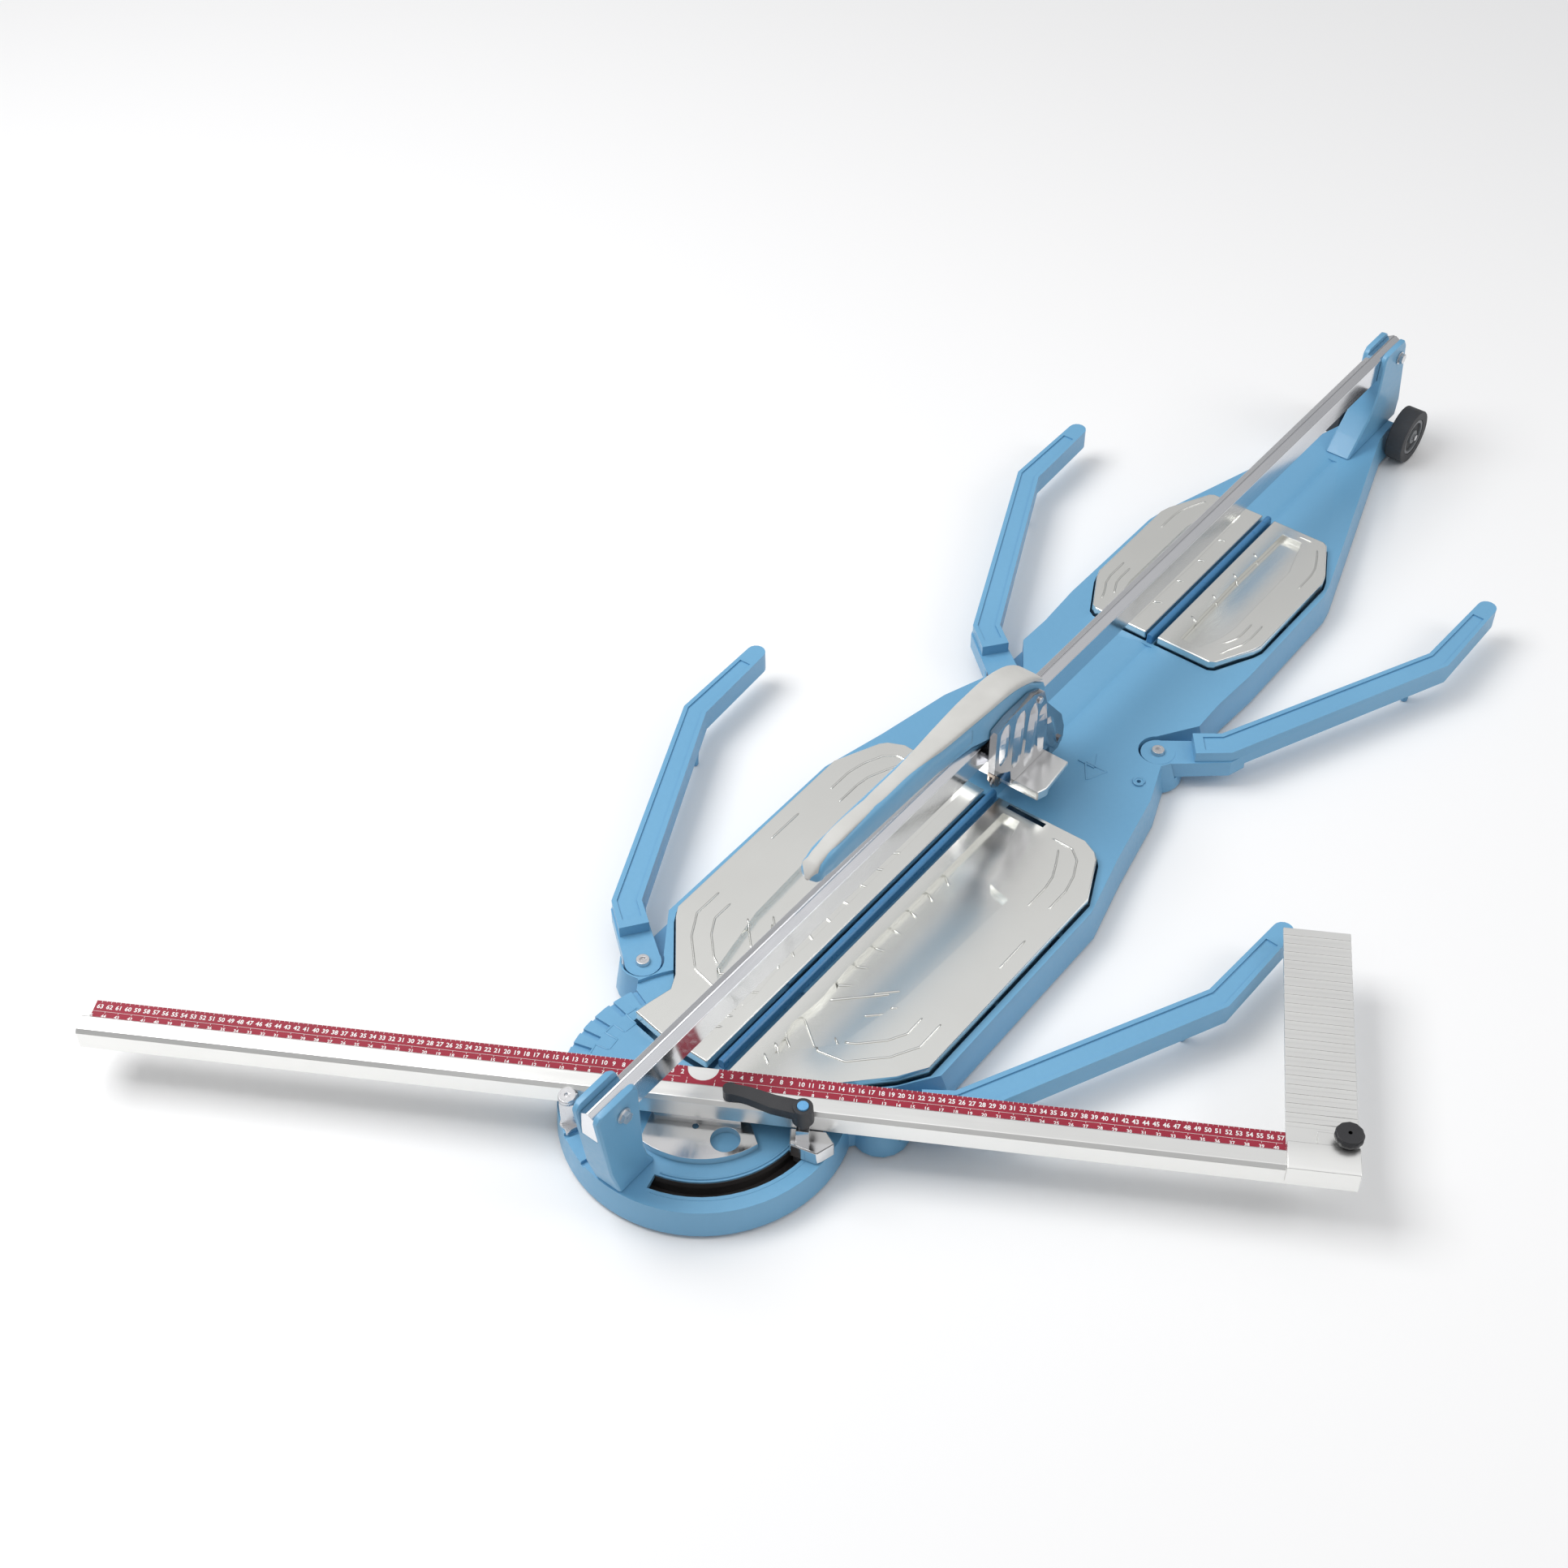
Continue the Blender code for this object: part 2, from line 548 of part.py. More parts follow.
# ---------------------------------------------------------------- fence
def fence():
    w = FENCE_WIDTH
    shelf = FENCE_SHELF
    section = [(0.0, FENCE_LOW), (0.0, shelf), (-RULER_WIDTH, shelf),
               (-RULER_WIDTH, FENCE_BOX_TOP - 0.002), (-RULER_WIDTH - 0.002, FENCE_BOX_TOP),
               (-w + 0.004, FENCE_BOX_TOP), (-w, FENCE_BOX_TOP - 0.004), (-w, FENCE_LOW)]
    shelf_hollow = [(-0.003, FENCE_LOW + 0.003), (-0.003, shelf - 0.003),
                    (-RULER_WIDTH + 0.002, shelf - 0.003), (-RULER_WIDTH + 0.002, FENCE_LOW + 0.003)]
    box_hollow = [(-RULER_WIDTH - 0.003, FENCE_LOW + 0.003), (-RULER_WIDTH - 0.003, FENCE_BOX_TOP - 0.004),
                  (-w + 0.006, FENCE_BOX_TOP - 0.004), (-w + 0.003, FENCE_BOX_TOP - 0.007),
                  (-w + 0.003, FENCE_LOW + 0.003)]
    bar = across([section, shelf_hollow, box_hollow], -FENCE_LEFT, FENCE_RIGHT)
    part("fence_bar", on_fence(bar), "fence_alu")
    low = FENCE_SHELF + CLEAR
    left = -FENCE_LEFT + 0.004
    right = FENCE_RIGHT - 0.002
    strip = [(left, -RULER_WIDTH + 0.0015), (right, -RULER_WIDTH + 0.0015), (right, -0.001)]
    strip += arc(0.0, -0.001, 0.016, 0.0, -180.0, 13) + [(left, -0.001)]
    part("ruler_strip", on_fence(flat([strip], low, RULER_TOP)), "ruler_red")


def pivot_group():
    r = BRACKET_RADIUS
    low = HEAD_TOP + CLEAR
    top = low + 0.009
    plan = [(-0.022, -0.006), (-0.044, -0.0275)] + arc(0.0, 0.0, r, -124.0, -46.0, 15)
    plan += [(0.046, -0.0275), (0.022, -0.006)] + arc(0.0, 0.0, 0.0125, -10.0, 190.0, 9)
    holes = [circle(0.0, -0.054, 0.0033, 12), circle(0.032, -0.066, 0.0150, 28),
             circle(0.0, 0.0, 0.0063, 20)]
    plate = part("pivot_bracket", on_fence(flat([plan] + holes, low, top)), "fence_alu")
    block = [(-0.024, -0.013), (-0.044, -0.0275), (-0.044, -0.0445), (0.044, -0.0445),
             (0.044, -0.0275), (0.024, -0.013)]
    change(plate, on_fence(flat([block], low + 0.004, FENCE_LOW - CLEAR)), "saddle", "UNION")
    pin = part("pivot_pin", drum(0.0063 - RUNNING, 0.0215, top + 0.001, 20), "steel")
    change(pin, drum(0.0105, top + CLEAR, top + 0.0045, 20), "cap", "UNION")


STUD_SPACE = 0.0068         # fence front face to the middle of the clamp stud
STUD_Y = -FENCE_WIDTH - STUD_SPACE
STUD = (math.sqrt(SLOT_RADIUS ** 2 - STUD_Y ** 2), STUD_Y)


def clamp_group():
    x, y = STUD
    low = HEAD_TOP + CLEAR
    front = -FENCE_WIDTH - CLEAR
    bore = circle(x, y, 0.0043, 16)
    foot = [(x - 0.014, front), (x + 0.023, front), (x + 0.032, front - 0.0127),
            (x + 0.016, front - 0.0277), (x - 0.012, front - 0.0197)]
    block = part("clamp_block", on_fence(flat([foot], low, low + 0.019)), "steel")
    soften(block, 0.0012, 50.0)
    neck = [(x - 0.0065, front), (x + 0.0065, front), (x + 0.0065, y - 0.0075),
            (x - 0.0065, y - 0.0075)]
    change(block, on_fence(flat([neck], low + 0.014, low + 0.034)), "neck", "UNION")
    change(block, on_fence(flat([bore], 0.02, 0.12)), "bore")
    stud = on_fence(moved(drum(0.0040, 0.0250, 0.0985, 16), x, y))
    stud = part("clamp_stud", stud, "steel")
    nut = on_fence(moved(drum(0.0110, 0.0215, 0.0285, 6), x, y))
    change(stud, nut, "tee_nut", "UNION")
    spot = Matrix.Rotation(FENCE_ANGLE, 4, "Z") @ Vector((x, y, 0.0))
    hub_low = low + 0.034 + CLEAR
    hub = on_fence(moved(drum(0.0060, hub_low, 0.0900, 24), x, y))
    lever = part("clamp_lever", hub, "lever_black", (spot.x, spot.y, hub_low))
    wide = on_fence(moved(drum(0.0112, FENCE_BOX_TOP + 0.0006, 0.1060, 24, 0.0100), x, y))
    change(lever, wide, "wide", "UNION")
    reach = [(x, y), (x - 0.030, y + 0.004), (x - 0.055, y + 0.011), (x - 0.076, y + 0.014)]
    arm = ribbon(reach, [0.0085, 0.0080, 0.0070, 0.0062])
    change(lever, on_fence(flat([arm], 0.0925, 0.1035)), "arm", "UNION")
    tip = on_fence(moved(drum(0.0075, 0.0905, 0.1035, 16), x - 0.074, y + 0.0138))
    change(lever, tip, "tip", "UNION")
    change(lever, on_fence(moved(drum(0.0043, 0.05, 0.0988, 16), x, y)), "bore")
    change(lever, on_fence(moved(drum(0.0062, 0.0985, 0.12, 20), x, y)), "button_well")
    button = on_fence(moved(drum(0.0058, 0.1005, 0.1078, 20), x, y))
    part("clamp_button", button, "button_blue", (spot.x, spot.y, 0.1005))


def index_group():
    x = -0.126
    front = -FENCE_WIDTH - CLEAR
    low = HEAD_TOP + CLEAR
    axis = front - 0.0102
    bore = circle(x, axis, 0.0048, 16)
    plan = [(x - 0.010, front), (x - 0.010, front - 0.0157), (x - 0.003, front - 0.0217),
            (x - 0.0012, front - 0.0262), (x + 0.0012, front - 0.0262),
            (x + 0.003, front - 0.0217), (x + 0.010, front - 0.0157), (x + 0.010, front)]
    bracket = part("pointer_bracket", on_fence(flat([plan], low, low + 0.004)), "steel")
    block = [(x - 0.008, front - 0.0004), (x + 0.008, front - 0.0004),
             (x + 0.008, front - 0.0162), (x - 0.008, front - 0.0162)]
    change(bracket, on_fence(flat([block], low + 0.003, 0.078)), "column", "UNION")
    change(bracket, on_fence(flat([bore], 0.02, 0.12)), "bore")
    screw = part("stop_screw", on_fence(moved(drum(0.0045, low + 0.0005, 0.080, 16), x, axis)),
                 "steel")
    head = on_fence(moved(drum(0.0090, 0.0785, 0.0865, 20), x, axis))
    change(screw, head, "head", "UNION")
    change(screw, on_fence(moved(drum(0.0028, 0.0835, 0.09, 6), x, axis)), "socket")
    spot = Matrix.Rotation(FENCE_ANGLE, 4, "Z") @ Vector((x, axis, 0.0785))
    screw.data.transform(Matrix.Translation(-spot))
    screw.location = spot


STOP_LEFT = 0.574
STOP_RIGHT = 0.644
STOP_BACK = 0.2605


def side_stop():
    low = RULER_TOP + CLEAR
    left = STOP_LEFT
    right = STOP_RIGHT
    plate = flat([box_outline(left, -0.018, right, STOP_BACK)], low, low + 0.0040)
    plate = part("stop_plate", on_fence(plate), "fence_alu")
    y = 0.004
    i = 0
    while y < STOP_BACK - 0.010:
        gap = flat([box_outline(left - 0.01, y, right + 0.01, y + 0.0055)], low + 0.0030, low + 0.01)
        change(plate, on_fence(gap), f"groove_{i}")
        y += 0.0115
        i += 1
    front = -FENCE_WIDTH - CLEAR
    lip = front - 0.0015
    saddle = [(-0.0200 - CLEAR, low), (-0.0200 - CLEAR, low + 0.0135),
              (front + 0.0023, low + 0.0135), (lip, low + 0.0120), (lip, 0.066),
              (front, 0.066), (front, FENCE_BOX_TOP + CLEAR),
              (-RULER_WIDTH + CLEAR, FENCE_BOX_TOP + CLEAR), (-RULER_WIDTH + CLEAR, low)]
    clamp = part("stop_saddle", on_fence(across([saddle], left, right)), "fence_alu")
    lid = flat([box_outline(left + 0.030, -0.0215, right, -0.002)], low + 0.0043, low + 0.0085)
    change(clamp, on_fence(lid), "lid", "UNION")
    x, y = (0.632, -0.0125)
    spot = Matrix.Rotation(FENCE_ANGLE, 4, "Z") @ Vector((x, y, 0.0))
    knob = on_fence(moved(drum(0.0055, low + 0.0088, low + 0.0160, 16), x, y))
    knob = part("stop_knob", knob, "lever_black", (spot.x, spot.y, low + 0.0088))
    disc = on_fence(moved(drum(0.0120, low + 0.0141, low + 0.0200, 24, 0.0130), x, y))
    change(knob, disc, "disc", "UNION")
    lobes = on_fence(moved(drum(0.0140, low + 0.0170, low + 0.0260, 12, 0.0130), x, y))
    change(knob, lobes, "lobes", "UNION")


# ---------------------------------------------------------------- side arms
def arm_path(pin, turn):
    a = Vector(pin)
    b = a + polar(0.078, 38.0 - turn)
    c = b + polar(ARM_SPAN, 65.5 - turn)
    d = c + polar(0.122, 88.5 - turn)
    return a, b, c, d


def arms():
    for place, pin, turn in (("front", FRONT_PIN, 1.5), ("rear", REAR_PIN, 0.0)):
        a, b, c, d = arm_path(pin, turn)
        step = a + (b - a) * 0.52
        root = ribbon([tuple(a), tuple(b), tuple(b + (c - b) * 0.06)], [0.0195, 0.0175, 0.0150])
        run = ribbon([tuple(step), tuple(b), tuple(c), tuple(d)], [0.0165, 0.0160, 0.0140, 0.0115])
        lip = ribbon([tuple(step + (b - step) * 0.3), tuple(b), tuple(c), tuple(c + (d - c) * 0.82)],
                     [0.0105, 0.0105, 0.0090, 0.0072])
        inner = (c - b).normalized()
        spot = c - inner * 0.035 + Vector((-inner.y, inner.x)) * 0.006
        for hand in ("right", "left"):
            flip = (lambda points: points) if hand == "right" else mirrored
            sign = 1.0 if hand == "right" else -1.0
            name = f"arm_{place}_{hand}"
            centre = (sign * a.x, a.y)
            hub = moved(drum(HUB_RADIUS, HUB_LOW, HUB_TOP, 24), *centre)
            arm = part(name, hub, "casting_blue", (centre[0], centre[1], HUB_LOW))
            change(arm, flat([flip(root)], HUB_LOW + 0.0004, HUB_TOP - 0.0004), "root", "UNION")
            change(arm, flat([flip(run)], ARM_LOW, ARM_TOP), "run", "UNION")
            change(arm, moved(drum(0.0115, ARM_LOW, ARM_TOP, 16), sign * d.x, d.y), "tip", "UNION")
            change(arm, flat([flip(lip)], ARM_TOP - 0.002, 0.07), "channel")
            leg = moved(drum(0.0045, 0.0008, ARM_LOW + 0.005, 12, 0.0065), sign * spot.x, spot.y)
            change(arm, leg, "leg", "UNION")
            change(arm, moved(drum(0.0046, 0.0, 0.06), *centre), "bore")
            bolt = part(f"arm_pin_{place}_{hand}",
                        moved(drum(0.0046 - RUNNING, 0.0095, HUB_TOP + 0.001), *centre), "steel")
            cap = moved(drum(0.0080, HUB_TOP + CLEAR, HUB_TOP + 0.0045, 20, 0.0072), *centre)
            change(bolt, cap, "cap", "UNION")
            socket = moved(drum(0.0036, HUB_TOP + 0.0022, HUB_TOP + 0.01, 6), *centre)
            change(bolt, socket, "socket")


# ---------------------------------------------------------------- wheels and feet
def wheels():
    y = BODY_LENGTH - 0.010
    z = WHEEL_RADIUS + 0.0015
    low = TAIL_HALF * WIDE + 0.00225
    high = low + WHEEL_WIDTH
    end = high + 0.0025
    axle = part("wheel_axle", sideways(drum(0.0043 - RUNNING, -end, end), y, z), "steel")
    for hand, sign in (("right", 1.0), ("left", -1.0)):
        tyre = wheel_mesh(WHEEL_RADIUS, 0.0245, low, high, sign, y, z, 32)
        tyre = part(f"tyre_{hand}", tyre, "tyre_grey", (sign * (low + high) / 2.0, y, z))
        soften(tyre, 0.003, 50.0)
        hub = wheel_mesh(0.0245 - CLEAR, 0.0043, low + 0.001, high - 0.001, sign, y, z)
        hub = part(f"wheel_hub_{hand}", hub, "hub_grey", (sign * (low + high) / 2.0, y, z))
        dish = wheel_mesh(0.0205, 0.0095, high - 0.007, high + 0.01, sign, y, z)
        change(hub, dish, "dish")


def wheel_mesh(outer, inner, low, high, sign, y, z, inner_sides=24):
    mesh = flat([circle(0.0, 0.0, outer, 32), circle(0.0, 0.0, inner, inner_sides)], low, high)
    return moved(turned_out(mesh, sign), 0.0, y, z)


def turned_out(mesh, sign):
    mesh.transform(Matrix.Rotation(math.radians(90.0 * sign), 4, "Y"))
    return mesh


FEET = {
    "foot_head": (0.0, 0.0), "foot_front_right": (0.150, 0.420), "foot_front_left": (-0.150, 0.420),
    "foot_rear_right": (0.105, 1.060), "foot_rear_left": (-0.105, 1.060),
}


def feet():
    for name, spot in FEET.items():
        (x, y), = spread([spot])
        foot = moved(drum(0.0110, 0.0, CASTING_FOOT - CLEAR, 20, 0.0125), x, y)
        part(name, foot, "foot_rubber")


# ---------------------------------------------------------------- carriage and handle
def carriage():
    y = CARRIAGE_Y
    profile = [(-0.083, 0.195), (-0.083, 0.133), (-0.050, 0.113), (-0.046, 0.0895),
               (0.030, 0.0895), (0.033, 0.072), (0.050, 0.072), (0.059, 0.084), (0.059, 0.100),
               (0.051, 0.124), (0.016, 0.169), (0.009, 0.190), (-0.012, 0.200), (-0.060, 0.200)]
    profile = [(y + a, b) for a, b in profile]
    body = part("carriage_body", across([profile], 0.0172, 0.026), "rail_chrome")
    change(body, across([profile], -0.026, -0.0172), "left_cheek", "UNION")
    bridge = [(-0.046, 0.0895), (0.030, 0.0895), (0.033, 0.072), (0.050, 0.072), (0.059, 0.084),
              (0.059, 0.100), (0.053, 0.113), (-0.048, 0.113)]
    change(body, across([[(y + a, b) for a, b in bridge]], -0.022, 0.022), "bridge", "UNION")
    for i, a in enumerate((-0.058, 0.036)):
        pin = sideways(drum(0.0040 - RUNNING, -0.022, 0.022), y + a, LOWER_ROLLER_Z)
        change(body, pin, f"roller_pin_{i}", "UNION")
    change(body, sideways(drum(0.0044, -0.05, 0.05), y, HANDLE_PIVOT_Z), "pivot_bore")
    screw = sideways(drum(0.0050, 0.0250, 0.0290, 6), y + 0.048, 0.088)
    change(body, screw, "screw", "UNION")


ROLLER = 0.0085
UPPER_ROLLER = 0.0105
LOWER_ROLLER_Z = RAIL_LOW - CLEAR - ROLLER
HANDLE_PIVOT_Z = RAIL_RIDGE + CLEAR + UPPER_ROLLER


def rollers():
    y = CARRIAGE_Y
    spots = {"roller_upper": (y, HANDLE_PIVOT_Z, UPPER_ROLLER, 0.0044),
             "roller_lower_front": (y - 0.058, LOWER_ROLLER_Z, ROLLER, 0.0040),
             "roller_lower_rear": (y + 0.036, LOWER_ROLLER_Z, ROLLER, 0.0040)}
    for name, (a, z, outer, inner) in spots.items():
        ring = flat([circle(0.0, 0.0, outer), circle(0.0, 0.0, inner)], -0.007, 0.007)
        part(name, sideways(ring, a, z), "steel", (0.0, a, z))


def handle():
    y = CARRIAGE_Y
    reach = HANDLE_REACH
    low = [(-reach, 0.204), (-0.260, 0.199), (-0.190, 0.196), (-0.114, 0.191), (-0.060, 0.174),
           (-0.020, 0.169), (0.022, 0.171), (0.028, 0.176)]
    ridge = [(0.024, 0.186), (-0.005, 0.207), (-0.035, 0.219), (-0.080, 0.2245), (-0.170, 0.2265),
             (-0.270, 0.2265), (-0.345, 0.2245), (-0.368, 0.216), (-reach - 0.001, 0.209)]
    side = [(y + a, b) for a, b in low + ridge]
    plan = [(y - reach - 0.02, 0.0105), (y - 0.170, 0.0105), (y - 0.090, 0.0160), (y + 0.05, 0.0160)]
    plan = [(b, a) for a, b in plan] + [(-b, a) for a, b in reversed(plan)]
    pivot = (0.0, y, HANDLE_PIVOT_Z)
    body = part("handle_body", across([side], -0.03, 0.03), "casting_blue", pivot)
    change(body, flat([plan], 0.1, 0.3), "taper", "INTERSECT")
    soften(body, 0.0015, 50.0)
    fork = across([[(y - 0.112, 0.15), (y + 0.06, 0.15), (y + 0.06, 0.1955), (y - 0.112, 0.1955)]],
                  -0.0115, 0.0115)
    change(body, fork, "fork")
    change(body, sideways(drum(0.0044, -0.05, 0.05), y, HANDLE_PIVOT_Z), "bore")
    top = [(a, b + CLEAR) for a, b in ridge]
    cover = [(-reach - 0.007, 0.2080), (-0.3745, 0.2215), (-0.350, 0.2325), (-0.270, 0.2350),
             (-0.170, 0.2350), (-0.080, 0.2335), (-0.030, 0.2280), (0.004, 0.2125), (0.0265, 0.1890)]
    shell = [(y + a, b) for a, b in top + cover]
    grip = part("handle_grip", across([shell], -0.03, 0.03), "grip_grey", pivot)
    wide = [(x + math.copysign(0.0012, x), a) for x, a in plan]
    change(grip, flat([wide], 0.1, 0.3), "taper", "INTERSECT")
    soften(grip, 0.0030, 50.0)
    pin = sideways(drum(0.0044 - RUNNING, -0.0285, 0.0285), y, HANDLE_PIVOT_Z)
    pin = part("handle_pin", pin, "steel", pivot)
    soften(pin, 0.0008)


def scorer():
    y = CARRIAGE_Y - 0.037
    z = 0.0725
    foot = [(-0.057, y - 0.002), (-0.0058, y - 0.002), (-0.0058, y + 0.016), (0.0058, y + 0.016),
            (0.0058, y - 0.002), (0.057, y - 0.002), (0.061, y + 0.010), (0.057, y + 0.060),
            (-0.057, y + 0.060), (-0.061, y + 0.010)]
    foot = part("breaker_foot", flat([foot], 0.0760, 0.0892), "steel")
    wedge = across([[(y + 0.012, 0.07), (y + 0.07, 0.07), (y + 0.07, 0.0835), (y + 0.016, 0.0815)]],
                   -0.07, 0.07)
    change(foot, wedge, "relief")
    soften(foot, 0.0010, 50.0)
    cheek = [(y - 0.010, 0.0892), (y - 0.010, 0.078), (y - 0.004, 0.0675), (y + 0.004, 0.0675),
             (y + 0.013, 0.078), (y + 0.013, 0.0892)]
    holder = part("wheel_holder", across([cheek], -0.0050, 0.0050), "carbide")
    change(holder, moved(slab(0.0020, 0.013, 0.0120), 0.0, y, z), "wheel_slot")
    change(holder, sideways(drum(0.0019, -0.02, 0.02, 12), y, z), "axle_hole")
    part("scorer_axle", sideways(drum(0.0018, -0.0055, 0.0055, 12), y, z), "steel")
    wheel = wheel_mesh(0.0095, 0.0018 + RUNNING, -0.0012, 0.0012, 1.0, y, z)
    part("scoring_wheel", wheel, "steel", (0.0, y, z))


def slab(half_x, half_y, half_z):
    mesh = bpy.data.meshes.new("slab")
    shape = bmesh.new()
    bmesh.ops.create_cube(shape, size=2.0)
    bmesh.ops.scale(shape, verts=shape.verts, vec=(half_x, half_y, half_z))
    shape.to_mesh(mesh)
    shape.free()
    return mesh


# ---------------------------------------------------------------- build
base_casting()
tables()
springs()
ribs()
rail()
posts()
bolts()
fence()
pivot_group()
clamp_group()
index_group()
side_stop()
arms()
wheels()
feet()
carriage()
rollers()
handle()
scorer()
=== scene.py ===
# %% [markdown]
# A rail-guided tile cutter, dressed for its portrait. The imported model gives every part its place
# and its joint, and this script gives each part its finish and the fine shapes that a plain
# mechanical model leaves out: rounded edges, pressed lines, a printed ruler, a moulded grip.
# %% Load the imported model
import json
import math

import bmesh
import bpy
import numpy as np
from mathutils import Matrix, Vector
from mathutils.bvhtree import BVHTree


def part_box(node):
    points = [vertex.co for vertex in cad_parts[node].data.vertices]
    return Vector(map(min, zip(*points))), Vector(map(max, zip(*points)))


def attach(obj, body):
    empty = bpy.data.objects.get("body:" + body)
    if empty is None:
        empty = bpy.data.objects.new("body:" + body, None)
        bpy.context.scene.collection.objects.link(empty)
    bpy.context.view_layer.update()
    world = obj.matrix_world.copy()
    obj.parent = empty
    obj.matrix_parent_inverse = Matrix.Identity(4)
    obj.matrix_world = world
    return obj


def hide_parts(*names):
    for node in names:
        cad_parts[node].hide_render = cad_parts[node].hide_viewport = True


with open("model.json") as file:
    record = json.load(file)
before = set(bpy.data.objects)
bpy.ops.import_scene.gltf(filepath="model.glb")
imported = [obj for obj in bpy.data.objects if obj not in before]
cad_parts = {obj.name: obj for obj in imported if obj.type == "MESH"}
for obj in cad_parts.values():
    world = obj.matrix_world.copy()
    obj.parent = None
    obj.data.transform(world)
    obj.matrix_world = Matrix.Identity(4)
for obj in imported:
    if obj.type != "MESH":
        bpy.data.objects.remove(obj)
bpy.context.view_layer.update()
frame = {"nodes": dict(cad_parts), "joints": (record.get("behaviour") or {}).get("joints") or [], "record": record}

# %% [markdown]
# Lengths are metres. The bed lies along +Y, the cutting line is X = 0, and the fence turns about
# the origin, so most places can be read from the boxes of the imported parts.
# %% Shared measures
FENCE_TURN = math.radians(30.0)
ALONG_FENCE = np.array([math.cos(FENCE_TURN), math.sin(FENCE_TURN), 0.0])
OFF_FENCE = np.array([-math.sin(FENCE_TURN), math.cos(FENCE_TURN), 0.0])
UP = np.array([0.0, 0.0, 1.0])
TABLE_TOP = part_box("table_front_right")[1][2]
RULER_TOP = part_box("ruler_strip")[1][2]
HEAD_TOP = 0.040
print("table top", round(TABLE_TOP, 4), "ruler top", round(RULER_TOP, 4))

# %% [markdown]
# Shader maths reads best as plain arithmetic. This small class wraps one output socket, and each
# operator on it adds the Math node that does the sum.
# %% Shader arithmetic
class Value:
    """A number that changes over a surface."""

    def __init__(self, tree, socket):
        self.tree = tree
        self.socket = socket

    def sum_with(self, operation, other, flipped=False):
        node = self.tree.nodes.new("ShaderNodeMath")
        node.operation = operation
        for slot, term in zip(node.inputs, (other, self) if flipped else (self, other)):
            if isinstance(term, Value):
                self.tree.links.new(term.socket, slot)
            else:
                slot.default_value = term
        return Value(self.tree, node.outputs[0])

    def __add__(self, other):
        return self.sum_with("ADD", other)

    def __sub__(self, other):
        return self.sum_with("SUBTRACT", other)

    def __mul__(self, other):
        return self.sum_with("MULTIPLY", other)

    def __rsub__(self, other):
        return self.sum_with("SUBTRACT", other, flipped=True)

    __radd__ = __add__
    __rmul__ = __mul__


class Finish:
    """A material under construction: one Principled shader and a way to add any node."""

    def __init__(self, name, roughness, metallic=0.0, coat=0.0, ior=1.5):
        self.material = bpy.data.materials.new(name)
        self.material.use_nodes = True
        self.tree = self.material.node_tree
        self.shader = self.tree.nodes["Principled BSDF"]
        self.set("Roughness", roughness)
        self.set("Metallic", metallic)
        self.set("Coat Weight", coat)
        self.set("IOR", ior)

    def set(self, socket, value):
        if isinstance(value, Value):
            self.tree.links.new(value.socket, self.shader.inputs[socket])
        else:
            self.shader.inputs[socket].default_value = value

    def node(self, kind, settings=None, inputs=None, output=0):
        made = self.tree.nodes.new("ShaderNode" + kind)
        for name, value in (settings or {}).items():
            setattr(made, name, value)
        for name, value in (inputs or {}).items():
            if isinstance(value, Value):
                self.tree.links.new(value.socket, made.inputs[name])
            else:
                made.inputs[name].default_value = value
        return Value(self.tree, made.outputs[output])

    def place(self, stretch=(1.0, 1.0, 1.0), turn=0.0):
        """Object coordinates, turned about Z and stretched."""
        spot = self.node("TexCoord", output=3)
        return self.node("Mapping", {"vector_type": "TEXTURE"},
                         {"Vector": spot, "Rotation": (0.0, 0.0, turn), "Scale": stretch})

    def noise(self, scale, detail=3.0, roughness=0.55, where=None):
        return self.node("TexNoise", {}, {"Vector": where or self.place(), "Scale": scale,
                                          "Detail": detail, "Roughness": roughness})

    def ramp(self, value, low, high, dark=0.0, bright=1.0):
        """Value stretched so that low..high becomes dark..bright."""
        return self.node("MapRange", {"clamp": True}, {"Value": value, "From Min": low,
                         "From Max": high, "To Min": dark, "To Max": bright})

    def blend(self, amount, first, second):
        """Colour that goes from the first to the second as amount rises."""
        made = self.tree.nodes.new("ShaderNodeMix")
        made.data_type = "RGBA"
        self.tree.links.new(amount.socket, made.inputs["Factor"])
        for slot, colour in ((made.inputs[6], first), (made.inputs[7], second)):
            if isinstance(colour, Value):
                self.tree.links.new(colour.socket, slot)
            else:
                slot.default_value = (*colour, 1.0)
        return Value(self.tree, made.outputs[2])

    def bumps(self, height, depth, distance=0.001):
        self.set("Normal", self.node("Bump", {}, {"Height": height, "Strength": depth,
                                                  "Distance": distance}))


LOOKS = {}

# %% [markdown]
# The casting is aluminium under a satin powder coat. Powder flows as it bakes, so it dries to a
# faint orange peel, a little glossier on the humps, and the tone drifts slightly over a long part.
# %% Painted castings
def painted(name, colour, shade, gloss=0.36):
    look = Finish(name, gloss, coat=0.12)
    drift = look.noise(3.5, 2.0)
    peel = look.noise(900.0, 2.0, 0.5)
    speck = look.noise(160.0, 3.0, 0.6)
    tone = look.ramp(drift * 0.75 + speck * 0.25, 0.35, 0.65)
    look.set("Base Color", look.blend(tone, shade, colour))
    look.set("Roughness", look.ramp(speck, 0.3, 0.7, gloss - 0.05, gloss + 0.08))
    look.bumps(peel * 0.7 + speck * 0.3, 0.12, 0.0006)
    LOOKS[name] = look.material
    return look


painted("casting_paint", (0.165, 0.405, 0.625), (0.145, 0.370, 0.585))
painted("rib_paint", (0.055, 0.215, 0.430), (0.045, 0.185, 0.385), 0.30)
painted("button_paint", (0.150, 0.420, 0.720), (0.130, 0.380, 0.670), 0.25)
print("paints", len(LOOKS))

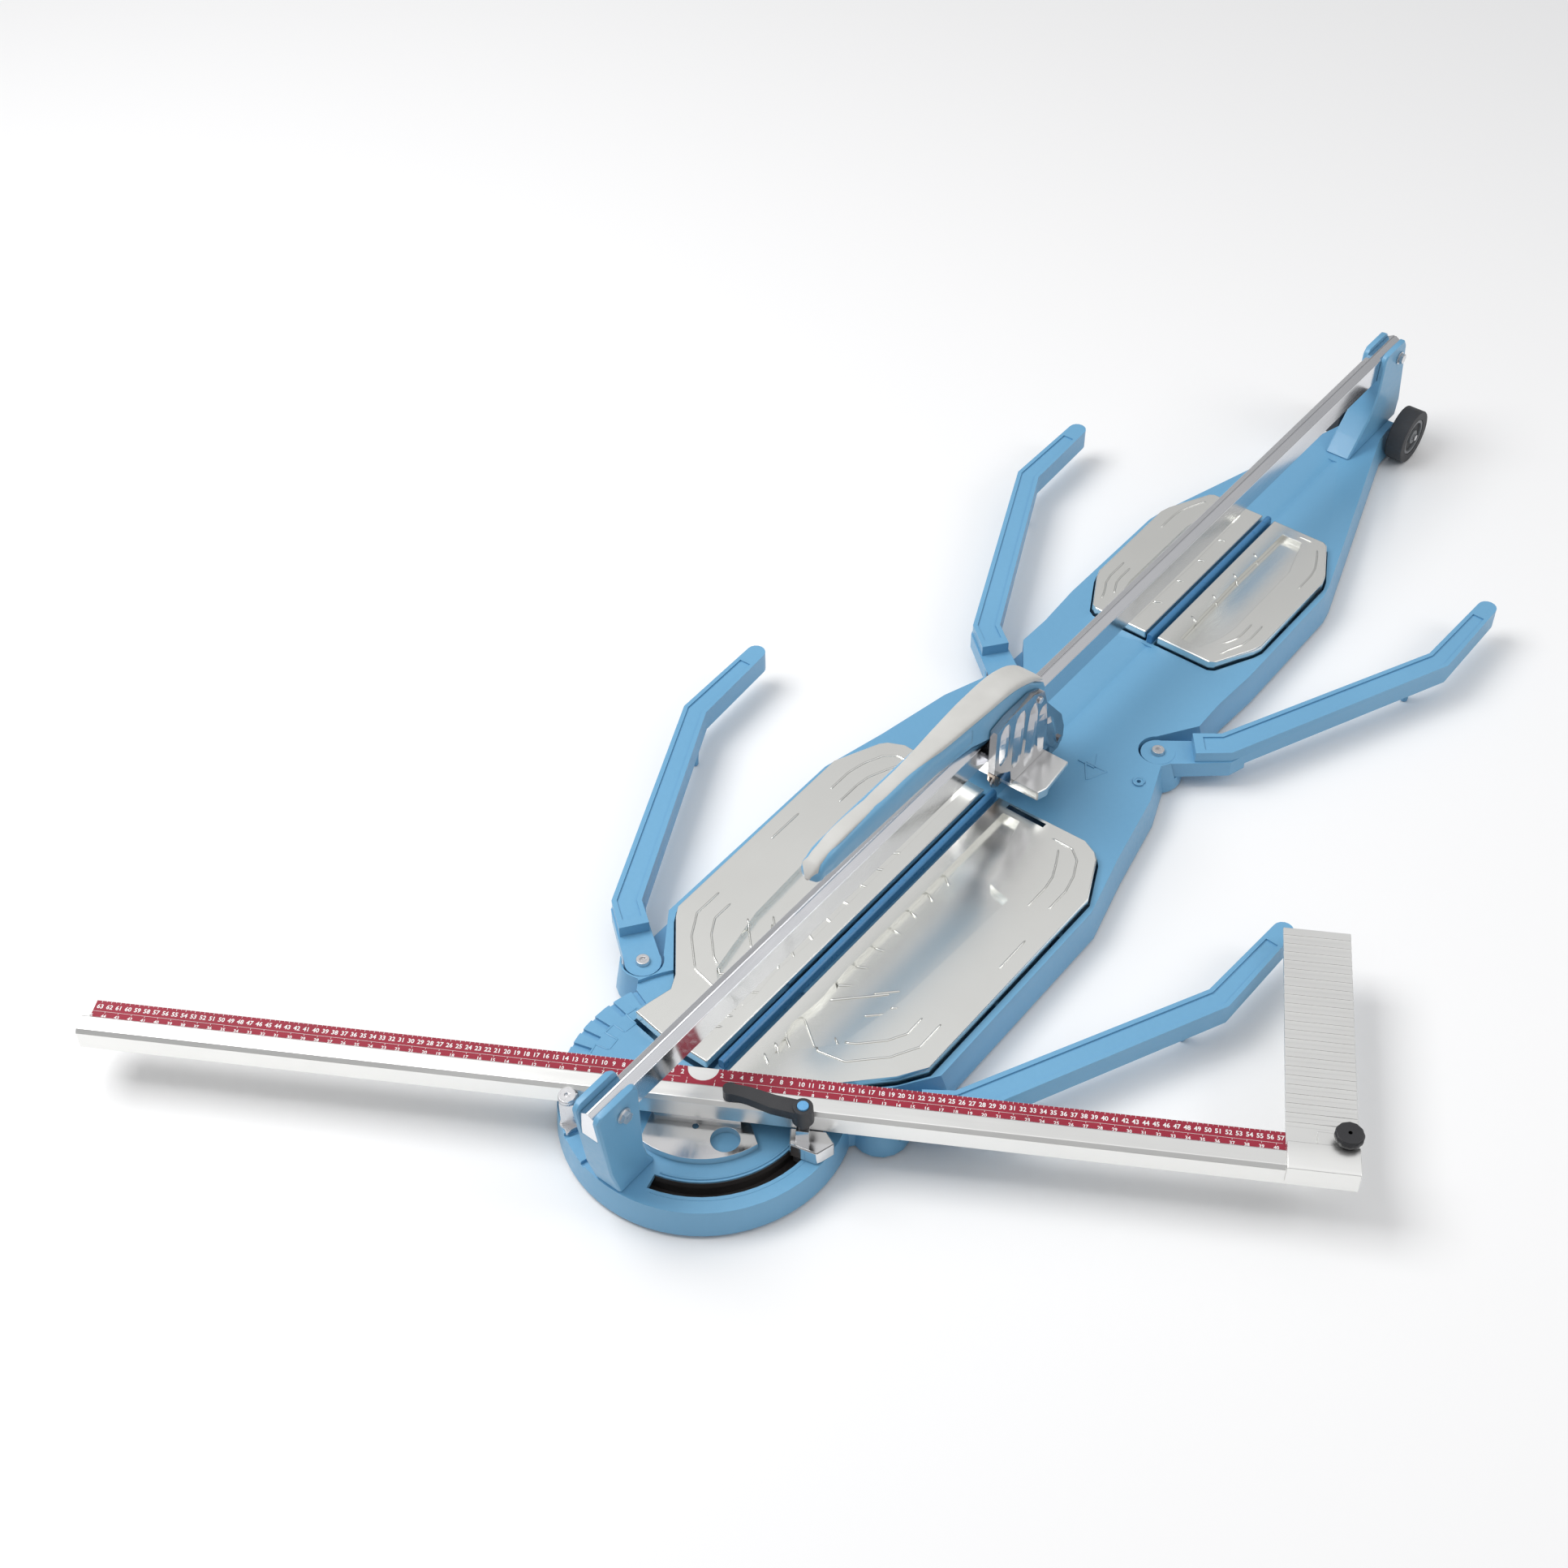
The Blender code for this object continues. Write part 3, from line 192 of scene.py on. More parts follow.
# %% [markdown]
# Bare metal shows how it was worked. Rolled or extruded aluminium has fine lines along its length,
# so the noise is stretched many times along that line, and it changes the roughness more than the
# colour. Chrome has almost no pattern, only wipe marks.
# %% Bare metals
def metal(name, colour, shade, roughness, spread, stretch=(1.0, 1.0, 1.0), turn=0.0, depth=0.05):
    look = Finish(name, roughness, metallic=1.0)
    lines = look.noise(260.0, 3.0, 0.6, look.place(stretch, turn))
    clouds = look.noise(9.0, 3.0, 0.5)
    look.set("Base Color", look.blend(look.ramp(clouds, 0.3, 0.7), shade, colour))
    mark = lines * 0.65 + clouds * 0.35
    look.set("Roughness", look.ramp(mark, 0.3, 0.7, roughness - spread, roughness + spread))
    look.bumps(lines, depth, 0.0003)
    LOOKS[name] = look.material
    return look


metal("table_sheet", (0.90, 0.90, 0.865), (0.87, 0.87, 0.835), 0.25, 0.02, (1.0, 22.0, 1.0),
      depth=0.002)
metal("fence_extrusion", (0.90, 0.90, 0.88), (0.86, 0.86, 0.84), 0.34, 0.05, (22.0, 1.0, 1.0),
      FENCE_TURN, 0.03)
metal("rail_chrome", (0.84, 0.845, 0.87), (0.78, 0.79, 0.82), 0.13, 0.04, (1.0, 30.0, 1.0),
      depth=0.01)
# The carriage's chrome is far darker than the rail's: partly the plating's own tone, partly painted dark
# reflection on its cheeks.
metal("carriage_chrome", (0.60, 0.60, 0.62), (0.36, 0.36, 0.38), 0.13, 0.06, depth=0.03)
metal("bracket_polish", (0.80, 0.80, 0.80), (0.66, 0.66, 0.67), 0.16, 0.07, (1.0, 6.0, 1.0), 0.4,
      0.02)
metal("zinc", (0.74, 0.74, 0.75), (0.60, 0.60, 0.62), 0.30, 0.08, depth=0.04)
metal("bronze_steel", (0.42, 0.35, 0.30), (0.33, 0.28, 0.25), 0.34, 0.08)
print("metals", len(LOOKS))

# %% [markdown]
# Moulded plastic and rubber share one recipe: an even colour, a fine grain from the mould, and a
# duller sheen where hands or the floor rub.
# %% Plastics and rubber
def moulded(name, colour, shade, roughness, grain, depth, gloss=1.45):
    look = Finish(name, roughness, ior=gloss)
    fine = look.noise(grain, 2.0, 0.5)
    rub = look.noise(24.0, 3.0, 0.5)
    look.set("Base Color", look.blend(look.ramp(rub, 0.35, 0.7), colour, shade))
    look.set("Roughness", look.ramp(rub, 0.3, 0.7, roughness - 0.06, roughness + 0.06))
    look.bumps(fine, depth, 0.0005)
    LOOKS[name] = look.material
    return look


moulded("lever_plastic", (0.028, 0.028, 0.031), (0.040, 0.040, 0.043), 0.42, 1600.0, 0.25)
moulded("grip_plastic", (0.62, 0.615, 0.59), (0.56, 0.555, 0.53), 0.50, 1200.0, 0.12)
moulded("tyre_rubber", (0.045, 0.047, 0.052), (0.060, 0.062, 0.066), 0.62, 500.0, 0.30)
moulded("hub_plastic", (0.22, 0.23, 0.24), (0.18, 0.19, 0.20), 0.45, 900.0, 0.12)
moulded("foot_rubber", (0.030, 0.030, 0.030), (0.042, 0.042, 0.042), 0.75, 500.0, 0.30)
moulded("ruler_red", (0.330, 0.018, 0.042), (0.290, 0.015, 0.036), 0.34, 700.0, 0.06)
moulded("print_white", (0.86, 0.86, 0.85), (0.80, 0.80, 0.79), 0.45, 900.0, 0.05)
# Near-black for the strips in the clamp's slot: painted shade of the deep channel.
moulded("slot_bed", (0.060, 0.052, 0.050), (0.085, 0.075, 0.072), 0.55, 700.0, 0.10)
print("all finishes", sorted(LOOKS))

# %% [markdown]
# No real casting or plate has a knife edge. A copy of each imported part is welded, its coplanar
# triangles are joined back into whole faces, and a narrow bevel rounds every corner, so that light
# catches the edges as it does on the real thing.
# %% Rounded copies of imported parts
def wear(thing, body, look):
    """Give a finished piece its material and its body."""
    thing.data.materials.clear()
    thing.data.materials.append(LOOKS[look])
    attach(thing, body)
    return thing


def rounded(node, body, look, width=0.0010, segments=2, angle=30.0):
    """A welded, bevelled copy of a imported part, shown in its place."""
    mesh = frame["nodes"][node].data.copy()
    shape = bmesh.new()
    shape.from_mesh(mesh)
    bmesh.ops.remove_doubles(shape, verts=shape.verts, dist=2e-6)
    bmesh.ops.dissolve_limit(shape, angle_limit=math.radians(1.0), verts=shape.verts,
                             edges=shape.edges)
    for face in shape.faces:
        face.smooth = True
    for edge in shape.edges:
        edge.smooth = edge.calc_face_angle(0.0) < math.radians(angle)
    shape.to_mesh(mesh)
    shape.free()
    thing = bpy.data.objects.new(f"{node}_rounded", mesh)
    bpy.context.scene.collection.objects.link(thing)
    edge = thing.modifiers.new("edge", "BEVEL")
    edge.width = width
    edge.segments = segments
    edge.limit_method = "ANGLE"
    edge.angle_limit = math.radians(angle)
    edge.harden_normals = True
    edge.use_clamp_overlap = True
    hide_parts(node)
    return wear(thing, body, look)


BODY_OF = {node: body for body, nodes in frame["record"]["behaviour"]["bodies"].items()
           for node in nodes}
SLOT_OF = {row["node"]: row["material_slot"] for row in frame["record"]["subparts"]}
LOOK_OF_SLOT = {
    "casting_blue": "casting_paint", "rib_blue": "rib_paint", "table_alu": "table_sheet",
    "fence_alu": "fence_extrusion", "rail_chrome": "rail_chrome", "steel": "zinc",
    "ruler_red": "ruler_red", "lever_black": "lever_plastic", "button_blue": "button_paint",
    "grip_grey": "grip_plastic", "tyre_grey": "tyre_rubber", "hub_grey": "hub_plastic",
    "foot_rubber": "foot_rubber", "carbide": "bronze_steel",
}
for node, thing in frame["nodes"].items():
    for place in thing.material_slots:
        place.material = LOOKS[LOOK_OF_SLOT[SLOT_OF[node]]]
print("packed parts dressed", len(frame["nodes"]))

# %% [markdown]
# Fine shapes here are grown from rings: a row of closed loops of points, skinned with quads and
# closed with a fan at each end. The sign of the enclosed volume tells which way the skin faces, so
# it can be turned outward without looking.
# %% Skins made from rings of points
def add_mesh(name, points, faces, smooth=True):
    mesh = bpy.data.meshes.new(name)
    mesh.from_pydata(points.tolist(), [], faces)
    mesh.polygons.foreach_set("use_smooth", np.full(len(mesh.polygons), smooth))
    mesh.update()
    thing = bpy.data.objects.new(name, mesh)
    bpy.context.scene.collection.objects.link(thing)
    return thing


def skin(rings):
    """Point i, k is ring i at corner k. Quads join neighbouring rings; fans close both ends."""
    rows, count = rings.shape[:2]
    points = np.concatenate([rings.reshape(-1, 3), rings[:1].mean(1), rings[-1:].mean(1)])
    i, k = np.meshgrid(np.arange(rows - 1), np.arange(count), indexing="ij")
    a = (i * count + k).ravel()
    b = (i * count + (k + 1) % count).ravel()
    quads = np.stack([a, b, b + count, a + count], -1)
    k = np.arange(count)
    near = np.stack([np.full(count, rows * count), (k + 1) % count, k], -1)
    far = np.stack([np.full(count, rows * count + 1), k, (k + 1) % count], -1)
    far[:, 1:] += (rows - 1) * count
    halves = np.concatenate([quads[:, [0, 1, 2]], quads[:, [0, 2, 3]], near, far])
    corner = points[halves] - points.mean(0)
    inside = np.einsum("ij,ij->i", corner[:, 0], np.cross(corner[:, 1], corner[:, 2])).sum()
    if inside < 0.0:
        quads, near, far = quads[:, ::-1], near[:, ::-1], far[:, ::-1]
    return points, quads.tolist() + near.tolist() + far.tolist()


def skins(name, ring_sets, smooth=True):
    """Several skins kept as one mesh."""
    points, faces, base = [], [], 0
    for rings in ring_sets:
        some, more = skin(rings)
        points.append(some)
        faces += [[v + base for v in face] for face in more]
        base += len(some)
    return add_mesh(name, np.concatenate(points), faces, smooth)


print("skin maker ready")

# %% [markdown]
# A raised line on a pressed plate is a low round bead that follows a path, rounds its corners and
# fades out at both ends. Cutting each corner at its quarter points, twice, turns a sharp path into
# a soft one, the way a press tool would.
# %% Beads along a path
def softened(path, passes=2):
    """Each pass replaces a corner by two points, 1/4 and 3/4 of the way along its edges."""
    path = np.asarray(path, float)
    for _ in range(passes):
        a, b = path[:-1], path[1:]
        cut = np.stack([a * 0.75 + b * 0.25, a * 0.25 + b * 0.75], 1).reshape(-1, path.shape[1])
        path = np.concatenate([path[:1], cut, path[-1:]])
    return path


def bead(path, width, height, z, sides=8, passes=1, fade=1.5):
    """Ring angle t gives offset across = width/2 cos t and lift = height max(sin t, -0.2).

    z is a height, or a function that gives the height of the surface under each point."""
    path = softened(path, passes)
    length = np.concatenate([[0.0], np.cumsum(np.linalg.norm(np.diff(path, axis=0), axis=1))])
    steps = np.unique(np.concatenate([length, np.arange(0.0, length[-1], 0.004),
                                      [width * 0.5, width, length[-1] - width * 0.5]]))
    steps = steps[(steps >= 0.0) & (steps <= length[-1])]
    path = np.stack([np.interp(steps, length, path[:, c]) for c in (0, 1)], -1)
    run = np.gradient(path, axis=0)
    run /= np.linalg.norm(run, axis=1, keepdims=True) + 1e-12
    across = np.stack([-run[:, 1], run[:, 0]], -1)
    ends = np.minimum(steps, steps[-1] - steps) / (width * fade)
    swell = np.sqrt(np.clip(1.0 - (1.0 - np.clip(ends, 0.0, 1.0)) ** 2, 0.02, 1.0))
    t = np.linspace(0.0, 2.0 * np.pi, sides, endpoint=False)
    side = np.outer(swell, np.cos(t)) * width / 2.0
    lift = np.outer(swell, np.maximum(np.sin(t), -0.2)) * height
    flat = path[:, None, :] + side[..., None] * across[:, None, :]
    ground = np.array([z(x, y) for x, y in path])[:, None] if callable(z) else z
    return np.concatenate([flat, (ground + lift)[..., None]], -1)


def round_arc(radius, start, end, count=40, centre=(0.0, 0.0)):
    t = np.radians(np.linspace(start, end, count))
    return np.stack([centre[0] + radius * np.cos(t), centre[1] + radius * np.sin(t)], -1)


def surface_of(node):
    """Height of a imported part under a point, found by dropping a plumb line onto its mesh."""
    mesh = frame["nodes"][node].data
    tree = BVHTree.FromPolygons([v.co for v in mesh.vertices], [p.vertices for p in mesh.polygons])
    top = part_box(node)[1][2]

    def height(x, y):
        hit = tree.ray_cast(Vector((x, y, top + 0.05)), Vector((0.0, 0.0, -1.0)))[0]
        return top if hit is None else hit.z - 0.0001
    return height


print("bead maker ready")

# %% [markdown]
# The blue castings come first. Their bevels are widest on the thick bed and posts, where a mould
# needs generous corners, and finer on the slim arms.
# %% Blue castings
rounded("base_casting", "base", "casting_paint", 0.0022, 3)
for node in ("front_post", "rear_post"):
    rounded(node, "base", "casting_paint", 0.0028, 3)
for node in ("arm_front_right", "arm_front_left", "arm_rear_right", "arm_rear_left"):
    rounded(node, BODY_OF[node], "casting_paint", 0.0016, 3)
for node in ("rib_front", "rib_rear"):
    rounded(node, "base", "rib_paint", 0.0012, 3)
print("castings rounded")

# %% [markdown]
# Small turned and machined parts get a fine edge of a few tenths of a millimetre to one
# millimetre, just enough to catch a line of light.
# %% Metal and moulded parts
EDGES = {
    "guide_rail": 0.0012, "fence_bar": 0.0006, "ruler_strip": 0.0002, "pivot_bracket": 0.0008,
    "clamp_block": 0.0009, "clamp_lever": 0.0028, "clamp_button": 0.0006, "pointer_bracket": 0.0008,
    "stop_screw": 0.0004, "stop_plate": 0.0007, "stop_saddle": 0.0008, "stop_knob": 0.0012,
    "carriage_body": 0.0016, "breaker_foot": 0.0008, "wheel_holder": 0.0006, "handle_body": 0.0010,
    "handle_pin": 0.0004, "rail_bolt_front": 0.0006, "rail_bolt_rear": 0.0006,
    "rail_nut_front": 0.0005, "rail_nut_rear": 0.0005, "arm_pin_front_right": 0.0005,
    "arm_pin_front_left": 0.0005, "arm_pin_rear_right": 0.0005, "arm_pin_rear_left": 0.0005,
    "tyre_right": 0.0010, "tyre_left": 0.0010, "wheel_hub_right": 0.0010, "wheel_hub_left": 0.0010,
    "foot_head": 0.0008, "foot_front_right": 0.0008, "foot_front_left": 0.0008,
    "foot_rear_right": 0.0008, "foot_rear_left": 0.0008, "table_front_right": 0.0008,
    "table_front_left": 0.0008, "table_rear_right": 0.0008, "table_rear_left": 0.0008,
}
# The carriage body takes the darkened chrome, whose colour holds painted dark reflection.
SPECIAL_LOOK = {"carriage_body": "carriage_chrome", "breaker_foot": "fence_extrusion",
                "pivot_bracket": "bracket_polish", "clamp_block": "bracket_polish"}
for node, width in EDGES.items():
    slot = SLOT_OF[node]
    look = SPECIAL_LOOK.get(node, LOOK_OF_SLOT[slot])
    rounded(node, BODY_OF[node], look, width, 2 if width < 0.0012 else 3)
print("edges rounded on", len(EDGES), "parts")

# %% [markdown]
# The red strip is a printed rule. Zero is at the fence's pivot, and the upper row counts whole
# centimetres both ways from it. A tile turned by 45 degrees shows its corner-to-corner length on
# the fence, so the lower row counts diagonals: number n stands at n times the square root of two.
# Each number is set in type, turned into a flat mesh, and copied as plain arrays of points.
# %% Ruler numbers
def type_mesh(text):
    """Points and triangles of a short text, one unit tall, centred on its middle."""
    curve = bpy.data.curves.new("type", "FONT")
    curve.body = text
    curve.align_x = "CENTER"
    curve.align_y = "CENTER"
    curve.resolution_u = 2
    curve.offset = 0.022
    thing = bpy.data.objects.new("type", curve)
    bpy.context.scene.collection.objects.link(thing)
    bpy.context.view_layer.update()
    mesh = bpy.data.meshes.new_from_object(thing.evaluated_get(
        bpy.context.evaluated_depsgraph_get()))
    points = np.empty(len(mesh.vertices) * 3)
    mesh.vertices.foreach_get("co", points)
    mesh.calc_loop_triangles()
    corners = np.empty(len(mesh.loop_triangles) * 3, int)
    mesh.loop_triangles.foreach_get("vertices", corners)
    bpy.data.objects.remove(thing)
    return points.reshape(-1, 3), corners.reshape(-1, 3)


TYPE = {n: type_mesh(str(n)) for n in range(1, 64)}


def printed(name, marks, body="fence", look="print_white"):
    """Flat print: (points, triangles, u, v, height, stretch) sets laid on the strip."""
    points, faces, base = [], [], 0
    for glyph, corners, u, v, tall, narrow in marks:
        flat = glyph * (tall * narrow, tall, 0.0) + (u, v, 0.0)
        placed = (flat[:, :1] * ALONG_FENCE + flat[:, 1:2] * OFF_FENCE
                  + UP * (RULER_TOP + 0.00006))
        points.append(placed)
        faces.append(corners + base)
        base += len(glyph)
    points, faces = np.concatenate(points), np.concatenate(faces)
    edge = points[faces]
    lift = np.cross(edge[:, 1] - edge[:, 0], edge[:, 2] - edge[:, 0])[:, 2]
    faces[lift < 0.0] = faces[lift < 0.0][:, ::-1]
    thing = add_mesh(name, points, faces.tolist(), smooth=False)
    ink = thing.modifiers.new("ink", "SOLIDIFY")
    ink.thickness = 0.00005
    ink.offset = 1.0
    return wear(thing, body, look)


BAR = (np.array([[-0.5, -0.5, 0.0], [0.5, -0.5, 0.0], [0.5, 0.5, 0.0], [-0.5, 0.5, 0.0]]),
       np.array([[0, 1, 2], [0, 2, 3]]))
UPPER_ROW, LOWER_ROW, DIVIDER = -0.0088, -0.0208, -0.0148
LEFT_END, RIGHT_END = 0.637, 0.572
numbers = []
for n in range(2, 64):
    for sign in (-1.0, 1.0):
        u = sign * n * 0.01
        if -LEFT_END < u < RIGHT_END:
            numbers.append((*TYPE[n], u, UPPER_ROW, 0.0076, 0.92))
for n in range(1, 46):
    for sign in (-1.0, 1.0):
        u = sign * n * 0.01 * math.sqrt(2.0)
        if -LEFT_END < u < RIGHT_END:
            numbers.append((*TYPE[n], u, LOWER_ROW, 0.0056, 0.95))
printed("ruler_numbers", numbers)
print("numbers printed", len(numbers))

# %% [markdown]
# Short strokes stand at every half centimetre along the strip's back edge and on the thin line
# that divides the two rows. The strokes on whole centimetres are longer.
# %% Ruler strokes
strokes = []
for half in range(-126, 115):
    u = half * 0.005
    if abs(u) < 0.019:
        continue
    whole = half % 2 == 0
    long = 0.0030 if whole else 0.0018
    strokes.append((BAR[0] * (0.00042 / long, 1.0, 1.0), BAR[1], u, -0.0006 - long / 2, long, 1.0))
for n in range(-45, 41):
    u = n * 0.01 * math.sqrt(2.0)
    if -LEFT_END < u < RIGHT_END and n != 0:
        strokes.append((BAR[0] * (0.00038 / 0.0022, 1.0, 1.0), BAR[1], u, DIVIDER - 0.0011,
                        0.0022, 1.0))
for low, high in ((-LEFT_END, -0.021), (0.021, RIGHT_END)):
    span = high - low
    strokes.append((BAR[0] * (span / 0.0003, 1.0, 1.0), BAR[1], (low + high) / 2, DIVIDER,
                    0.0003, 1.0))
printed("ruler_strokes", strokes)
print("strokes printed", len(strokes))

# %% [markdown]
# The plates are stiffened by pressed lines. They could be drawn point by point, but a press
# designer would set them out from the plate's own edges, and so does this: an open frame is a
# corner, an arm along the outer edge, a chamfer and an arm back inwards. Short ribs cross the
# trough's inner border, and fan out about one height. The left plates mirror the right ones.
# %% Pressed lines on the plates
LINE_WIDTH, LINE_HEIGHT = 0.0026, 0.0012
RIB_WIDTH, RIB_HEIGHT = 0.0032, 0.0015
BORDER = 0.024          # trough's inner border from the plate's inner edge
RIB_REACH = 0.0065      # half of a short rib's length
FAN = 8.0               # change of a rib's slope for each metre from the fan's middle


def open_frame(corner, outer_arm, chamfer, inner_arm):
    """Four points: corner + outer arm, corner, corner + chamfer, and that + inner arm."""
    corner, outer_arm, chamfer, inner_arm = np.array([corner, outer_arm, chamfer, inner_arm])
    return [corner + outer_arm, corner, corner + chamfer, corner + chamfer + inner_arm]


def short_rib(x, y, slope):
    """Two points either side of x, y, on a line of the given slope."""
    return [(x - RIB_REACH, y - RIB_REACH * slope), (x + RIB_REACH, y + RIB_REACH * slope)]


def front_lines(inner, outer, front, back):
    edge = (front + back) / 2
    return [
        open_frame((outer - 0.025, front + 0.135), (0.0, 0.050), (-0.065, -0.065), (-0.055, 0.040)),
        open_frame((outer - 0.045, front + 0.145), (0.0, 0.035), (-0.045, -0.045), (-0.015, 0.010)),
        open_frame((outer - 0.025, back - 0.065), (0.0, -0.045), (-0.020, 0.045), (-0.035, 0.0)),
        open_frame((outer - 0.045, back - 0.075), (0.0, -0.045), (-0.010, 0.025), (-0.010, 0.020)),
        [(inner + 0.065, front + 0.150), (inner + 0.090, front + 0.175)],
        [(inner + 0.055, front + 0.180), (inner + 0.075, front + 0.200)],
        [(outer - 0.020, edge + 0.035), (outer - 0.020, edge + 0.085)],
    ]


def front_ribs(inner, front):
    x = inner + BORDER
    middle_y = front + 0.260
    ribs = [short_rib(x, y, -0.7) for y in front + 0.040 + 0.0175 * np.arange(3)]
    ribs += [short_rib(x, y, FAN * (middle_y - y)) for y in front + 0.170 + 0.031 * np.arange(7)]
    return ribs + [[(x, front + 0.145), (x + 0.045, front + 0.190)]]


def rear_lines(inner, outer, front, back):
    return [
        open_frame((outer - 0.018, front + 0.055), (0.0, 0.040), (-0.010, -0.020), (-0.005, -0.015)),
        open_frame((outer - 0.030, front + 0.060), (0.0, 0.030), (-0.005, -0.012), (-0.005, -0.010)),
        open_frame((outer - 0.018, back - 0.060), (0.0, -0.040), (-0.010, 0.025), (-0.008, 0.015)),
        [(inner + 0.042, back - 0.010), (inner + 0.062, back - 0.010)],
    ]


def rear_ribs(inner, front):
    return [short_rib(inner + BORDER - 0.005, y, -0.6) for y in front + 0.055 + 0.050 * np.arange(4)]


def pressed(node, sign, lines, ribs):
    """Lay out the right plate's lines, mirror them with sign, and drop them on this plate."""
    low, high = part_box(node.replace("left", "right"))
    drop = surface_of(node)
    rows = [(line, LINE_WIDTH, LINE_HEIGHT) for line in lines(low[0], high[0], low[1], high[1])]
    rows += [(rib, RIB_WIDTH, RIB_HEIGHT) for rib in ribs(low[0], low[1])]
    rings = [bead(np.asarray(path) * (sign, 1.0), width, height, drop, passes=1)
             for path, width, height in rows]
    wear(skins(f"{node}_pressed_lines", rings), BODY_OF[node], "table_sheet")
    print(node, len(rings), "pressed lines")


for side, sign in (("right", 1.0), ("left", -1.0)):
    pressed(f"table_front_{side}", sign, front_lines, front_ribs)
    pressed(f"table_rear_{side}", sign, rear_lines, rear_ribs)

# %% [markdown]
# The head of the casting is stiffened too. A lip runs along the inner side of the clamp's curved
# slot, low radial steps mark the detent angles, and a fine line follows the rim.
# %% Lines on the head
head = [
    bead(round_arc(0.1105, -74.0, 20.0), 0.0026, 0.0018, HEAD_TOP - 0.0001, passes=0),
    bead(round_arc(0.1350, -74.0, 20.0), 0.0014, 0.0006, HEAD_TOP - 0.0001, passes=0),
]
for angle in range(150, 236, 14):
    inner, outer = 0.112, 0.128
    a, b, c = math.radians(angle), math.radians(angle + 6), math.radians(angle + 14)
    step = [(inner * math.cos(a), inner * math.sin(a)), (outer * math.cos(a), outer * math.sin(a)),
            (outer * math.cos(b), outer * math.sin(b)), (inner * math.cos(b), inner * math.sin(b)),
            (inner * math.cos(c), inner * math.sin(c))]
    head.append(bead(step, 0.0024, 0.0007, HEAD_TOP - 0.0001, passes=0))
wear(skins("head_lines", head), "base", "casting_paint")
print("head lines", len(head))

# %% [markdown]
# The clamp's slot opens onto a deep channel in shade. Thin near-black curved strips line it as
# painted shade: a bed on the channel's floor, two walls beside the clamp nut's path, two more in the slot.
# %% Painted shade in the slot
def swept(inner, outer, low, high, start=-75.7, end=21.7):
    """A box section carried round the pivot: x = r cos t, y = r sin t."""
    t = np.radians(np.linspace(start, end, 60))
    r = np.array([inner, outer, outer, inner])
    z = np.array([high, high, low, low])
    return np.stack([np.outer(np.cos(t), r), np.outer(np.sin(t), r),
                     np.repeat(z[None, :], len(t), 0)], -1)


track_turn = (-79.6, 25.6)
track_wall = (0.0125, HEAD_TOP - 0.0062)
slot_wall = (0.0310, HEAD_TOP - 0.0018)
# Painted shade: dark strips on the channel's floor and walls and inside the slot.
shade_strips = [swept(0.1098, 0.1354, 0.0122, 0.0128, *track_turn),
       swept(0.1098, 0.1103, *track_wall, *track_turn),
       swept(0.1349, 0.1354, *track_wall, *track_turn),
       swept(0.1143, 0.1148, *slot_wall), swept(0.1304, 0.1309, *slot_wall)]
wear(skins("slot_bed", shade_strips, smooth=False), "base", "slot_bed")
print("slot bed and walls", len(shade_strips))

# %% [markdown]
# Behind the front plates the bed narrows to a waist. A small raised triangle and a round boss
# stand there, beside the shallow crease that runs down the middle.
# %% Waist marks
t = np.radians(155.0 + 120.0 * np.arange(4))
triangle = np.stack([0.066 + 0.016 * np.cos(t), 0.616 + 0.016 * np.sin(t)], -1)
boss = round_arc(0.0060, 0.0, 358.0, 24, (0.117, 0.633))
drop = surface_of("base_casting")
marks = [bead(triangle, 0.0026, 0.0010, drop, passes=0), bead(boss, 0.0028, 0.0012, drop, passes=0)]
wear(skins("waist_marks", marks), "base", "casting_paint")
print("waist marks", len(marks))

# %% [markdown]
# The handle is a blue moulding with a pale soft cover let into its back. Its sides swell under the
# palm and draw in at the tip. Each ring of the swell is a superellipse: across = half-width times
# the signed power of cos t, up = half-height times the signed power of sin t.
# %% Handle swell
def power(value, exponent):
    return np.sign(value) * np.abs(value) ** exponent


def loft(name, stations, exponent=0.55, sides=36):
    """stations: (y, half width, low, high). Cubic easing between them keeps the sides fair."""
    stations = np.asarray(stations, float)
    y = np.linspace(stations[0, 0], stations[-1, 0], 64)
    knots = stations[:, 0]
    slope = np.gradient(stations[:, 1:], knots, axis=0)
    i = np.clip(np.searchsorted(knots, y, side="right") - 1, 0, len(knots) - 2)
    span = (knots[i + 1] - knots[i])[:, None]
    f = ((y - knots[i])[:, None]) / span
    a, b = stations[i, 1:], stations[i + 1, 1:]
    value = (a * (2 * f ** 3 - 3 * f ** 2 + 1) + slope[i] * span * (f ** 3 - 2 * f ** 2 + f)
             + b * (3 * f ** 2 - 2 * f ** 3) + slope[i + 1] * span * (f ** 3 - f ** 2))
    half, low, high = value.T
    t = np.linspace(0.0, 2.0 * np.pi, sides, endpoint=False)
    across = np.outer(half, power(np.cos(t), exponent))
    up = (low + high)[:, None] / 2 + np.outer((high - low) / 2, power(np.sin(t), exponent))
    return skins(name, [np.stack([across, np.repeat(y[:, None], sides, 1), up], -1)])


